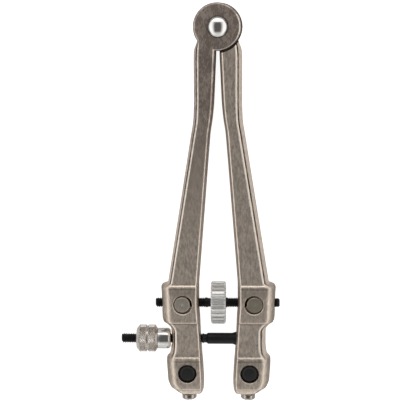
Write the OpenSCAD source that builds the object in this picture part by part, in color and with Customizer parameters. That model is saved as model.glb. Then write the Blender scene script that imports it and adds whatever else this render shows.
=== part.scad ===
// Adjustable watch case opener.
// Two forged arms turn on a riveted half-lap hinge. A spindle with opposite-hand threads and
// a thumb wheel sets the arms apart through two cross-drilled trunnions. A lock rod with a
// knurled nut holds the setting, and each arm carries a pin bit clamped by an end screw.
// The tool lies flat: X runs across the arms, Y towards the hinge, and Z towards the
// polished rivet head. The origin is on the hinge axis, on the back face of the right lug.

/* [Hinge] */
// Diameter of each hinge lug
lug_d = 18.8; // [17:0.1:20]
// How far each lug's disc sits towards its own arm
lug_offset = 0.3; // [0:0.1:1]
// Gap between the two half-lapped lugs
lap_gap = 0.5; // [0.3:0.05:0.9]
// Rounding of the rim of a lug
lug_edge = 0.9; // [0.4:0.1:1.4]
// Gap between a lug's rim and the relief in the other arm
relief_gap = 0.6; // [0.3:0.1:1]
// Diameter of the rivet's shank
rivet_d = 5; // [4:0.1:5.8]
// Diameter of the rivet's domed head
rivet_head_d = 7.9; // [7:0.1:9]
// Height of the domed head above its seat
rivet_head_h = 2.1; // [1.4:0.1:2.6]
// Diameter of the recess round the domed head
rivet_recess_d = 9.1; // [9.1:0.1:11]
// Depth of the recess under the domed head
rivet_recess_h = 0.5; // [0.2:0.1:0.9]
// Diameter of the riveted-over end at the back
rivet_tail_d = 7.2; // [6.4:0.1:8]
// Depth of the countersink for the riveted-over end
rivet_tail_h = 1.2; // [0.8:0.1:1.8]
// Outer diameter of the washer between the lugs
washer_d = 12; // [9:0.5:15]

/* [Arms] */
// Thickness of an arm between its front and back faces
arm_t = 9.6; // [8.4:0.1:11]
// Distance from the hinge axis to where the neck gets its full width
neck_y = 12.5; // [11.5:0.5:15]
// Distance from the middle plane to a neck's inner edge
neck_in = 0.7; // [0.7:0.05:1]
// Width of a neck
neck_w = 8.75; // [8:0.25:9.5]
// Distance from the hinge axis to the knee where an arm spreads outwards
knee_y = 35.6; // [32:0.1:42]
// Half the length of the smooth bend at the knee
knee_run = 7; // [4:0.5:9]
// Distance from the middle plane to the inner edge at the knee
knee_in = 2.2; // [2:0.1:2.6]
// Width of the rounding along an arm's inner edges, seen from the front
edge_in = 1.4; // [0.8:0.1:1.8]
// Width of the rounding along an arm's outer edges, seen from the front
edge_out = 2.2; // [1.2:0.1:2.8]
// Share of the half thickness that the edge roundings take
edge_depth = 0.72; // [0.5:0.02:0.85]

/* [Heads] */
// Distance from the hinge axis to the spindle's axis
spindle_y = 110.5; // [108:0.5:120]
// Distance from the middle plane to each trunnion's axis
trunnion_x = 14.3; // [14.3:0.1:16]
// Distance from the spindle's axis to the lock rod's axis
lock_drop = 14.9; // [14.9:0.1:18]
// Distance from the spindle's axis to the bits' axes
bit_drop = 28.45; // [28:0.1:31]
// How much nearer the middle plane a bit is than its trunnion
bit_lean = 1.7; // [1:0.1:2]
// Distance from a bit's axis to the seat of its clamp screw
screw_seat = 8.95; // [8.6:0.05:10.5]
// Distance from a trunnion's or bit's axis to the inner side of the head
head_in_w = 6.55; // [6:0.05:6.8]
// Distance from a trunnion's axis to the outer side of the arm above the head
shank_out_w = 5.95; // [5.4:0.05:6.6]
// Distance from a trunnion's axis to the outer side of its boss
upper_out_w = 8.75; // [8:0.05:9.4]
// Length of the upper boss along the arm
upper_len = 17; // [15:0.5:19]
// Rise of the upper boss above the arm's face
upper_rise = 0.8; // [0.4:0.1:1.2]
// Distance from the line of the axes to the outer side of the waist
waist_out_w = 5.65; // [5:0.05:6.2]
// Distance from a bit's axis to the outer side of its boss
lower_out_w = 8.3; // [7.6:0.05:9]
// Distance from a bit's axis up to the top of its boss
lower_up = 5.4; // [5:0.1:7]
// Rise of the lower boss above the arm's face
lower_rise = 0.7; // [0.4:0.1:1.2]
// Width of the rounding along the outer sides of the bosses
boss_edge = 3.2; // [2:0.1:3.6]

/* [Spindle] */
// Thread diameter of the spindle
spindle_d = 4; // [3.6:0.1:4.2]
// Distance from the wheel's middle to the spindle's right end
spindle_right = 24.7; // [24.4:0.1:28]
// Distance from the wheel's middle to the spindle's left end
spindle_left = 25.4; // [24.4:0.1:28]
// Diameter of the turned neck beside the wheel
spindle_neck_d = 3.5; // [2.8:0.1:3.6]
// Length of the turned neck beside the wheel
spindle_neck_w = 1.3; // [0.8:0.1:1.8]
// Outer diameter of the thumb wheel
wheel_d = 17.2; // [15:0.1:18]
// Width of the thumb wheel
wheel_w = 5.9; // [4:0.1:6]
// Number of ribs round the thumb wheel
wheel_ribs = 28; // [24:1:36]
// Depth of the grooves between the ribs
wheel_groove = 0.55; // [0.3:0.05:0.9]
// Chamfer of the wheel's rims
wheel_chamfer = 0.6; // [0.4:0.05:1]
// Diameter of a trunnion
trunnion_d = 7; // [6.4:0.1:7.6]
// How far a trunnion's ends lie below the boss's faces
trunnion_sink = 0.3; // [0:0.1:0.8]
// Chamfer of a trunnion's ends
trunnion_chamfer = 0.35; // [0.1:0.05:0.6]
// Countersink round a trunnion's bore in the boss
trunnion_mouth = 0.45; // [0.1:0.05:0.7]

/* [Lock rod] */
// Thread diameter of the lock rod
lock_d = 4; // [3.6:0.1:4.2]
// Diameter of the rod's plain part between the arms
lock_plain_d = 4.5; // [4.3:0.05:4.6]
// Diameter of the rod's root, which swings in the right arm
lock_root_d = 5.4; // [5:0.1:5.6]
// Distance from the middle plane to the rod's left end
lock_left = 39.4; // [38:0.2:44]
// Diameter of the turned neck at the end of the thread
lock_neck_d = 3.5; // [2.8:0.1:3.6]
// Width of the turned neck at the end of the thread
lock_neck_w = 1.3; // [0.8:0.1:1.8]
// Distance from the middle plane to the cone between neck and plain part
lock_cone_x = 4.35; // [4:0.05:4.8]
// Length of the flare at the rod's root
lock_flare = 1.2; // [0.8:0.1:1.6]
// Diameter of the pin that the rod's root swings on
lock_pin_d = 2; // [1.6:0.1:2.4]
// Outer diameter of the knurled nut
nut_d = 11.3; // [10.4:0.1:12.5]
// Length of the knurled nut
nut_l = 8.6; // [7.6:0.1:10]
// Diameter of the knurled nut at its waist
nut_waist_d = 10.4; // [9.6:0.1:10.4]
// Chamfer of the nut's outer end
nut_chamfer = 1.2; // [0.6:0.1:1.5]
// Outer diameter of the nut's thrust sleeve
sleeve_d = 8.4; // [7.4:0.1:9]
// Length of the thrust sleeve that shows
sleeve_l = 5.1; // [4.4:0.1:6.5]
// Chamfer of the thrust sleeve's nose
sleeve_chamfer = 0.75; // [0.3:0.05:1]
// Gap between the thrust sleeve's nose and the left arm
nose_gap = 0.45; // [0.4:0.05:0.8]

/* [Bits] */
// Diameter of a bit's shank
bit_d = 7.4; // [6.8:0.1:7.8]
// How far a bit's flat end lies below the boss's front face
bit_sink = 0.2; // [0:0.05:0.6]
// Chamfer of a bit's flat end
bit_chamfer = 0.5; // [0.2:0.05:0.8]
// How far a bit's shank stands out of the back of its boss
bit_out = 0.8; // [0.4:0.1:2]
// Length of the taper from a bit's shank to its tip
bit_taper = 1.4; // [0.8:0.1:2.5]
// Diameter of a bit's round tip
tip_d = 2.5; // [1.6:0.1:3.2]
// Length of a bit's round tip
tip_l = 3.3; // [2.5:0.1:5]
// Thread diameter of a clamp screw
screw_d = 3.5; // [3:0.1:4]
// Head diameter of a clamp screw
screw_head_d = 5.9; // [5:0.1:6.4]
// Head height of a clamp screw
screw_head_h = 3.1; // [2.8:0.1:3.6]
// Height of the straight side below the dome of a clamp screw's head
screw_rim_h = 1.6; // [1.2:0.1:2]
// Width of a clamp screw's slot
screw_slot_w = 0.8; // [0.5:0.05:1.2]
// Depth of a clamp screw's slot
screw_slot_h = 1; // [0.6:0.05:1.3]

/* [Fits] */
// Radial clearance of everything that turns or slides in a bore
fit = 0.05; // [0.02:0.01:0.08]
// Radial clearance of a bit in its bore
bit_fit = 0.1; // [0.05:0.01:0.15]
// Least room round the rods where they swing in the arms
swing_fit = 0.15; // [0.1:0.05:0.3]
// Largest turn of a rod against an arm, in degrees
swing = 2.4; // [2.4:0.1:2.6]

/* [Hidden] */
$fn = 64;

eps = 0.01;
mid_z = arm_t / 2;
half_t = arm_t / 2;
upper_t = half_t + upper_rise;
lower_t = half_t + lower_rise;
lock_y = spindle_y + lock_drop;
bit_y = spindle_y + bit_drop;
bit_x = trunnion_x - bit_lean;
lean = atan(bit_lean / bit_drop);
end_y = bit_y + screw_seat + 0.2;

// Middle line of a head: straight down to the trunnion, then leaning in towards the bit.
function axis_x(d) = trunnion_x - max(0, d - spindle_y) * bit_lean / bit_drop;

// Edges of an arm at distance d below the hinge, measured from the middle plane.
head_y = spindle_y - upper_len / 2;
neck_out = neck_in + neck_w;
knee_top = knee_y - knee_run;
knee_low = knee_y + knee_run;
inner_slope = (axis_x(head_y) - head_in_w - knee_in) / (head_y - knee_y);
outer_slope = (axis_x(head_y) + shank_out_w - neck_out) / (head_y - knee_y);
knee_low_in = knee_in + knee_run * inner_slope * 1.25;
knee_top_in = neck_in + (knee_in - neck_in) * 0.5 * (knee_top - neck_y) / (knee_y - neck_y) + 0.25;
upper_low = spindle_y + upper_len / 2;
lower_top = bit_y - lower_up;
waist_y = (upper_low + lower_top) / 2;
boss_in = edge_in + 0.2;

// Each station: distance below the hinge, inner edge, outer edge, half thickness,
// inner rounding and outer rounding.
function shank_stations() = [
    [neck_y - 7.1, neck_in - 0.2, neck_out - 1.4, half_t, edge_in, edge_out],
    [neck_y - 4.7, neck_in - 0.15, neck_out - 0.65, half_t, edge_in, edge_out],
    [neck_y - 2.9, neck_in - 0.1, neck_out - 0.1, half_t, edge_in, edge_out],
    [neck_y, neck_in, neck_out, half_t, edge_in, edge_out],
    [knee_top, knee_top_in, neck_out, half_t, edge_in, edge_out],
    [knee_y, knee_in, neck_out + outer_slope * knee_run / 4, half_t, edge_in, edge_out],
    [knee_low, knee_low_in, neck_out + outer_slope * knee_run, half_t, edge_in, edge_out],
    [head_y - 0.1, axis_x(head_y) - head_in_w, axis_x(head_y) + shank_out_w,
        half_t, edge_in, edge_out]
];

function upper_stations() =
    let (out = trunnion_x + upper_out_w, inn = trunnion_x - head_in_w)
    [
        [head_y + 0.6, inn, out - 1.4, half_t + 0.2 * upper_rise, boss_in, edge_out + 0.4],
        [head_y + 1.5, inn, out - 0.4, upper_t, boss_in, boss_edge - 0.3],
        [head_y + 3.1, inn, out, upper_t, boss_in, boss_edge],
        [spindle_y, inn, out - 0.05, upper_t, boss_in, boss_edge],
        [upper_low - 2.6, axis_x(upper_low - 2.6) - head_in_w, out - 0.4,
            upper_t, boss_in, boss_edge],
        [upper_low - 0.9, axis_x(upper_low) - head_in_w, out - 1.15,
            upper_t, boss_in, boss_edge - 0.2],
        [upper_low, axis_x(upper_low) - head_in_w + 0.05, out - 2,
            half_t, boss_in, edge_out + 0.6],
        [upper_low + 2, axis_x(upper_low + 2) - head_in_w + 0.1,
            axis_x(upper_low + 2) + waist_out_w + 0.1, half_t - 0.1, edge_in, edge_out + 0.4]
    ];

function lower_stations() =
    let (out = bit_x + lower_out_w, inn = axis_x(end_y) - head_in_w)
    [
        [waist_y, axis_x(waist_y) - head_in_w + 0.1, axis_x(waist_y) + waist_out_w,
            half_t - 0.1, edge_in, edge_out + 0.4],
        [lower_top - 2.6, axis_x(lower_top - 2.6) - head_in_w + 0.1,
            axis_x(lower_top - 2.6) + waist_out_w + 0.8, half_t - 0.1, edge_in, edge_out + 0.6],
        [lower_top - 1.2, axis_x(lower_top - 1.2) - head_in_w + 0.05, out - 0.5,
            half_t, boss_in, edge_out + 0.7],
        [lower_top, axis_x(lower_top) - head_in_w, out - 0.05, lower_t, boss_in, boss_edge],
        [lower_top + 1.4, axis_x(lower_top + 1.4) - head_in_w, out + 0.1,
            lower_t, boss_in, boss_edge],
        [bit_y + 4.8, axis_x(bit_y + 4.8) - head_in_w + 0.35, out - 0.45,
            lower_t, boss_in, boss_edge],
        [end_y - 2, inn + 0.75, out - 2.3, lower_t - 0.05, boss_in, boss_edge],
        [end_y - 1, inn + 1.1, out - 3.9, lower_t - 0.6, boss_in, boss_edge - 0.6],
        [end_y - 0.35, inn + 1.7, out - 5, lower_t - 1.5, boss_in, boss_edge - 1],
        [end_y, inn + 2.6, out - 6, lower_t - 2.6, boss_in, boss_edge - 1.4]
    ];

// One ring of points across an arm, its four corners rounded by quarter ellipses.
corner_steps = 3;
function corner(x, z, rx, rz, from) = [
    for (i = [0:corner_steps])
        let (a = from + 90 * i / corner_steps)
        [x + rx * cos(a), z + rz * sin(a)]
];
function ring(s) =
    let (rz = s[3] * edge_depth, zc = s[3] - rz)
    [
        for (p = concat(corner(s[2] - s[5], zc, s[5], rz, 0), corner(s[1] + s[4], zc, s[4], rz, 90),
            corner(s[1] + s[4], -zc, s[4], rz, 180), corner(s[2] - s[5], -zc, s[5], rz, 270)))
        [p[0], -s[0], p[1]]
    ];

// Skins a row of rings with triangles and closes both ends.
module loft(stations) {
    rings = [for (s = stations) ring(s)];
    n = len(rings[0]);
    last = len(rings) - 1;
    sides = [
        for (i = [0:last - 1], j = [0:n - 1])
            let (a = i * n + j, b = i * n + (j + 1) % n, c = a + n, d = b + n)
            each [[a, c, b], [b, c, d]]
    ];
    ends = [[for (j = [0:n - 1]) j], [for (j = [n - 1:-1:0]) last * n + j]];
    polyhedron([for (r = rings) each r], concat(sides, ends), convexity = 6);
}

// A cylinder with both rims chamfered, standing on z = 0.
module pin(d, h, chamfer) {
    rotate_extrude()
        polygon([[0, 0], [d / 2 - chamfer, 0], [d / 2, chamfer], [d / 2, h - chamfer],
            [d / 2 - chamfer, h], [0, h]]);
}

// Turns a profile of [x, radius] points round the X axis.
module turned(points) {
    rotate([0, 90, 0])
        rotate_extrude()
            polygon(concat([[0, points[0][0]]], [for (p = points) [p[1], p[0]]],
                [[0, points[len(points) - 1][0]]]));
}

// A bore through an arm along Z, at distance x from the middle plane and d below the hinge.
module cross_bore(x, d, r) {
    translate([x, -d, -half_t - 2])
        cylinder(r = r, h = arm_t + 4);
}

// The countersinks at both mouths of a cross bore.
module bore_mouths(x, d, r, face, mouth) {
    for (s = [-1, 1])
        translate([x, -d, s * face])
            rotate([s > 0 ? 0 : 180, 0, 0])
                translate([0, 0, -mouth])
                    cylinder(r1 = r, r2 = r + mouth + eps, h = mouth + eps);
}

// One hinge lug with rounded rims, lying below the lap plane.
module lug() {
    h = half_t - lap_gap / 2;
    translate([lug_offset, 0, -half_t])
        rotate_extrude()
            polygon(concat([[0, 0]],
                [for (i = [0:4]) let (a = -90 + 90 * i / 4)
                    [lug_d / 2 - lug_edge + lug_edge * cos(a), lug_edge + lug_edge * sin(a)]],
                [[lug_d / 2, h - 0.2], [lug_d / 2 - 0.2, h], [0, h]]));
}

// An arm in its own frame: the middle plane at z = 0, the lug behind it, the body at +X.
module arm_body() {
    difference() {
        union() {
            difference() {
                loft(concat(shank_stations(), upper_stations(), lower_stations()));
                // The relief follows the rim of the other arm's lug.
                translate([-lug_offset, 0, -lap_gap / 2])
                    cylinder(r = lug_d / 2 + relief_gap, h = arm_t);
            }
            lug();
        }
        cross_bore(trunnion_x, spindle_y, trunnion_d / 2 + fit);
        bore_mouths(trunnion_x, spindle_y, trunnion_d / 2 + fit, upper_t, trunnion_mouth);
        cross_bore(bit_x, bit_y, bit_d / 2 + bit_fit);
        spindle_hole();
        screw_hole();
    }
}

// The hole through a head for the spindle, wide enough for the rod to swing in it.
module spindle_hole() {
    r = spindle_d / 2 + swing_fit + upper_out_w * tan(swing);
    translate([trunnion_x - head_in_w - 3, -spindle_y, 0])
        rotate([0, 90, 0])
            cylinder(r = r, h = head_in_w + upper_out_w + 6);
}

// The tapped hole and flat seat of a clamp screw, square to the leaning end of the arm.
module screw_hole() {
    translate([bit_x, -bit_y, 0])
        rotate([90, 0, -lean]) {
            cylinder(r = screw_d / 2 + fit, h = screw_seat + 3);
            translate([0, 0, screw_seat])
                cylinder(r = screw_head_d / 2 + 0.3, h = 4);
        }
}

module right_arm() {
    color([0.60, 0.56, 0.52])
        translate([0, 0, mid_z])
            difference() {
                arm_body();
                translate([0, 0, -half_t - 1])
                    cylinder(r = rivet_d / 2 + fit, h = arm_t + 2);
                translate([0, 0, -half_t - eps])
                    cylinder(r1 = rivet_tail_d / 2 + fit, r2 = rivet_d / 2 + fit,
                        h = rivet_tail_h + eps);
                lock_socket();
            }
}

// The blind socket in the right arm where the lock rod's root swings, and its pin hole,
// which is open at the back only.
socket_r = lock_root_d / 2 + swing_fit + head_in_w * tan(swing);
lock_x = axis_x(lock_y);
module lock_socket() {
    translate([lock_x - head_in_w - 3, -lock_y, 0])
        rotate([0, 90, 0])
            cylinder(r = socket_r, h = head_in_w + 3);
    translate([lock_x, -lock_y, 0])
        sphere(r = socket_r);
    translate([lock_x, -lock_y, -half_t - 1])
        cylinder(r = lock_pin_d / 2 + fit, h = half_t + 1 + lock_root_d / 2 + 1);
}

module left_arm() {
    color([0.60, 0.56, 0.52])
        translate([0, 0, mid_z])
            rotate([0, 180, 0])
                difference() {
                    arm_body();
                    translate([0, 0, -half_t - 1])
                        cylinder(r = rivet_d / 2 + fit, h = arm_t + 2);
                    translate([0, 0, -half_t - 1])
                        cylinder(r = rivet_recess_d / 2, h = 1 + rivet_recess_h);
                    lock_hole();
                }
}

// The hole through the left arm's waist for the lock rod's plain part.
module lock_hole() {
    translate([lock_x - head_in_w - 3, -lock_y, 0])
        rotate([0, 90, 0])
            cylinder(r = lock_plain_d / 2 + swing_fit + head_in_w * tan(swing),
                h = head_in_w + waist_out_w + 6);
}

// The rivet: a domed head in the left lug's recess, a plain shank, a spread tail at the back.
module hinge_rivet() {
    seat = arm_t - rivet_recess_h + fit;
    rim = 0.5;
    rise = rivet_head_h - rim;
    dome_r = (pow(rivet_head_d / 2, 2) + rise * rise) / (2 * rise);
    sweep = asin(rivet_head_d / 2 / dome_r);
    color([0.86, 0.87, 0.88])
        rotate_extrude()
            polygon(concat([[0, 0.1], [rivet_tail_d / 2 - 0.3, 0.1],
                [rivet_d / 2, rivet_tail_h], [rivet_d / 2, seat], [rivet_head_d / 2, seat]],
                [for (i = [0:8]) let (a = sweep * (1 - i / 8))
                    [dome_r * sin(a), seat + rivet_head_h - dome_r + dome_r * cos(a)]]));
}

module lug_washer() {
    h = lap_gap - 2 * fit;
    color([0.55, 0.53, 0.50])
        translate([0, 0, mid_z - h / 2])
            difference() {
                cylinder(r = washer_d / 2, h = h);
                translate([0, 0, -1])
                    cylinder(r = rivet_d / 2 + fit, h = h + 2);
            }
}

// A trunnion with the spindle's thread bored across it.
module trunnion() {
    h = 2 * (upper_t - trunnion_sink);
    translate([0, -spindle_y, mid_z])
        difference() {
            translate([0, 0, -h / 2])
                pin(trunnion_d, h, trunnion_chamfer);
            rotate([0, 90, 0])
                translate([0, 0, -trunnion_d])
                    cylinder(r = spindle_d / 2 + fit, h = 2 * trunnion_d);
        }
}

module right_trunnion() {
    color([0.55, 0.51, 0.47])
        translate([trunnion_x, 0, 0])
            trunnion();
}

module left_trunnion() {
    color([0.55, 0.51, 0.47])
        translate([-trunnion_x, 0, 0])
            trunnion();
}

// The spindle: two opposite threads, with a plain collar and a turned neck left of the wheel.
module spindle() {
    r = spindle_d / 2;
    face = wheel_w / 2;
    color([0.10, 0.10, 0.11])
        translate([0, -spindle_y, mid_z])
            turned([
                [-spindle_left, r - 0.45], [-spindle_left + 0.7, r],
                [-face - spindle_neck_w - 0.2, r], [-face - spindle_neck_w, spindle_neck_d / 2],
                [-face + 0.2, spindle_neck_d / 2], [-face + 0.4, r],
                [spindle_right - 0.7, r], [spindle_right, r - 0.45]
            ]);
}

// The thumb wheel: straight ribs cut into a chamfered disc.
module thumb_wheel() {
    r = wheel_d / 2;
    step = 360 / wheel_ribs;
    // The four corners of one rib, in shares of its pitch, each with 1 at the crest and 0 in
    // the groove. The first groove stands at 0.43 of a pitch.
    rib_points = [[-0.29, 1], [0.15, 1], [0.31, 0], [0.55, 0]];
    color([0.80, 0.80, 0.80])
        translate([0, -spindle_y, mid_z])
            difference() {
                intersection() {
                    turned([[-wheel_w / 2, r - wheel_chamfer], [-wheel_w / 2 + wheel_chamfer, r],
                        [wheel_w / 2 - wheel_chamfer, r], [wheel_w / 2, r - wheel_chamfer]]);
                    rotate([0, 90, 0])
                        translate([0, 0, -wheel_w / 2 - 1])
                            linear_extrude(wheel_w + 2)
                                polygon([for (i = [0:wheel_ribs - 1], p = rib_points)
                                    (r + 0.2 - (1 - p[1]) * (wheel_groove + 0.2))
                                    * [cos((i + p[0]) * step), sin((i + p[0]) * step)]]);
                }
                rotate([0, 90, 0])
                    translate([0, 0, -wheel_w])
                        cylinder(r = spindle_d / 2 + fit, h = 2 * wheel_w);
            }
}

// The lock rod: thread, turned neck, plain part, flare and a rounded root with its pin hole.
module lock_rod() {
    r = lock_d / 2;
    plain = lock_plain_d / 2;
    root = lock_root_d / 2;
    neck_end = -lock_cone_x - 0.5;
    flare_end = lock_x - head_in_w;
    color([0.09, 0.09, 0.10])
        translate([0, -lock_y, mid_z])
            difference() {
                union() {
                    turned([
                        [-lock_left, r - 0.45], [-lock_left + 0.7, r],
                        [neck_end - lock_neck_w, r], [neck_end - lock_neck_w + 0.4, lock_neck_d / 2],
                        [neck_end, lock_neck_d / 2], [-lock_cone_x, plain],
                        [flare_end - lock_flare, plain], [flare_end, root], [lock_x, root]
                    ]);
                    translate([lock_x, 0, 0])
                        sphere(r = root);
                }
                translate([lock_x, 0, -root - 1])
                    cylinder(r = lock_pin_d / 2 + fit, h = 2 * root + 2);
            }
}

module lock_rod_pin() {
    h = half_t + lock_root_d / 2 + 0.6;
    color([0.55, 0.51, 0.47])
        translate([lock_x, -lock_y, 0.2])
            pin(lock_pin_d, h, 0.2);
}

// The thrust sleeve: a polished nose against the left arm, and a spigot inside the nut.
nose_x = axis_x(lock_y) + waist_out_w + nose_gap;
spigot_d = lock_d + 2 * fit + 2;
spigot_l = 3;
module lock_sleeve() {
    back = -nose_x - sleeve_l;
    color([0.78, 0.77, 0.75])
        translate([0, -lock_y, mid_z])
            difference() {
                turned([[back - spigot_l, spigot_d / 2], [back, spigot_d / 2],
                    [back, sleeve_d / 2], [-nose_x - sleeve_chamfer, sleeve_d / 2],
                    [-nose_x, sleeve_d / 2 - sleeve_chamfer]]);
                rotate([0, 90, 0])
                    translate([0, 0, back - spigot_l - 1])
                        cylinder(r = lock_d / 2 + fit, h = spigot_l + sleeve_l + 2);
            }
}

// The knurled nut: two bands with a shallow waist, and a cone down to the sleeve.
module lock_nut() {
    r = nut_d / 2;
    right = -nose_x - sleeve_l - fit;
    left = right - nut_l;
    band = (nut_l - nut_chamfer - 1.1) / 2;
    color([0.74, 0.73, 0.70])
        translate([0, -lock_y, mid_z])
            difference() {
                turned([[left, r - nut_chamfer], [left + nut_chamfer, r],
                    [left + nut_chamfer + band - 0.75, r],
                    [left + nut_chamfer + band, nut_waist_d / 2],
                    [left + nut_chamfer + band + 0.75, r],
                    [right - 1.1, r], [right, sleeve_d / 2 + 0.15]]);
                rotate([0, 90, 0])
                    translate([0, 0, left - 1])
                        cylinder(r = lock_d / 2 + fit, h = nut_l + 2);
                rotate([0, 90, 0])
                    translate([0, 0, right - spigot_l - fit])
                        cylinder(r = spigot_d / 2 + fit, h = spigot_l + 1);
            }
}

// A bit: a flat chamfered end at the front, a shank, a taper and a round tip at the back.
module bit() {
    top = mid_z + lower_t - bit_sink;
    out = mid_z - lower_t - bit_out;
    r = bit_d / 2;
    rotate_extrude()
        polygon([[0, top], [r - bit_chamfer, top], [r, top - bit_chamfer], [r, out],
            [tip_d / 2, out - bit_taper], [tip_d / 2, out - bit_taper - tip_l + 0.2],
            [tip_d / 2 - 0.2, out - bit_taper - tip_l], [0, out - bit_taper - tip_l]]);
}

module right_bit() {
    color([0.14, 0.14, 0.14])
        translate([bit_x, -bit_y, 0])
            bit();
}

module left_bit() {
    color([0.14, 0.14, 0.14])
        translate([-bit_x, -bit_y, 0])
            bit();
}

// A clamp screw: its slotted dome at the arm's end, its point just short of the bit.
module bit_screw() {
    r = screw_head_d / 2;
    rise = screw_head_h - screw_rim_h;
    dome_r = (r * r + rise * rise) / (2 * rise);
    sweep = asin(r / dome_r);
    start = bit_d / 2 + bit_fit + 0.05;
    rotate([90, 0, -lean])
        difference() {
            rotate_extrude()
                polygon(concat([[0, start], [screw_d / 2 - 0.4, start],
                    [screw_d / 2, start + 0.4], [screw_d / 2, screw_seat + fit],
                    [r, screw_seat + fit]],
                    [for (i = [0:6]) let (a = sweep * (1 - i / 6))
                        [dome_r * sin(a), screw_seat + fit + screw_head_h - dome_r
                            + dome_r * cos(a)]]));
            translate([-screw_slot_w / 2, -r - 1, screw_seat + fit + screw_head_h - screw_slot_h])
                cube([screw_slot_w, 2 * r + 2, screw_slot_h + 1]);
        }
}

module right_bit_screw() {
    color([0.62, 0.59, 0.55])
        translate([bit_x, -bit_y, mid_z])
            bit_screw();
}

module left_bit_screw() {
    color([0.62, 0.59, 0.55])
        mirror([1, 0, 0])
            translate([bit_x, -bit_y, mid_z])
                bit_screw();
}

right_arm();
left_arm();
hinge_rivet();
lug_washer();
right_trunnion();
left_trunnion();
spindle();
thumb_wheel();
lock_rod();
lock_rod_pin();
lock_sleeve();
lock_nut();
right_bit();
left_bit();
right_bit_screw();
left_bit_screw();
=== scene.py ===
"""A watch case opener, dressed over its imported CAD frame.

Two forged arms on a riveted hinge, a spindle with a thumb wheel, a lock rod with a knurled
nut, and a pin bit with its clamp screw in the end of each arm. Sizes are in millimetres and
places in the row frame; the bench's moves turn them into metres.
"""

import bisect
import logging
import math
from collections.abc import Callable, Iterable, Sequence
from dataclasses import dataclass, field, replace
from enum import Enum

import bmesh
import bpy
from mathutils import Matrix, Vector


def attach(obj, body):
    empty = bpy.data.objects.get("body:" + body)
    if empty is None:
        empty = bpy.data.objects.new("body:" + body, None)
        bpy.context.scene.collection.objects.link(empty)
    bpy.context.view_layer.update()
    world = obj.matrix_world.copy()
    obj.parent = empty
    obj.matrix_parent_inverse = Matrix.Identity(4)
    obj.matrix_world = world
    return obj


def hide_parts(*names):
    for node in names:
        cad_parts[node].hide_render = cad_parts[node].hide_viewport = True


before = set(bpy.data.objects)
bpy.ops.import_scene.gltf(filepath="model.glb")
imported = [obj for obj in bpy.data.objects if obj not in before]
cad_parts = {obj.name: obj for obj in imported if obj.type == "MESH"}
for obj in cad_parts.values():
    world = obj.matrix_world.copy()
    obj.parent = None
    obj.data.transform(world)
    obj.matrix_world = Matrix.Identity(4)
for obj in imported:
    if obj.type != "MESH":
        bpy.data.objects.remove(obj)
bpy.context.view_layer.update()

LOG = logging.getLogger("watch_case_opener")
MM = 0.001

# Places in the tool: the middle height, distances below the hinge and from the middle plane.
MID_Z = 4.8
SPINDLE_DOWN = 110.5
LOCK_DOWN = 125.4
BIT_DOWN = 138.95
TRUNNION_X = 14.3
BIT_X = 12.6
HEAD_LEAN = 1.7 / 28.45

# Radii that fit each other: the rods over their threads, their necks and what runs on them,
# the bores of an arm's head, and the lock pin's hole. A profile can't end in a radius of 0.
ROD_R = 2.0
NECK_R = 1.75
RUN_R = 2.05
HEAD_BORE_R = 3.8
PIN_HOLE_R = 1.05
POINT_R = 0.03
ARC_END_R = 0.02

# The rods' thread: its pitch, its depth, how far its crest is eased, and its steps in a turn.
THREAD_PITCH = 0.7
THREAD_DEPTH = 0.4
THREAD_EASE = 0.03
THREAD_STEPS = 36

# Points nearer than this are merged, and a point on a cut counts as above it, both in metres.
MERGE = 1e-6
ON_CUT = 1e-7

Point = tuple[float, float, float]
Colour = tuple[float, float, float]
Profile = Sequence[tuple[float, float]]
Piece = bpy.types.Object
Socket = bpy.types.NodeSocket
Tree = bpy.types.NodeTree


class Axis(Enum):
    """The direction that a turned piece is built along."""

    ACROSS = (1.0, 0.0, 0.0)
    UP = (0.0, 0.0, 1.0)
    DOWN_TOOL = (0.0, -1.0, 0.0)


# The bench


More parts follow.
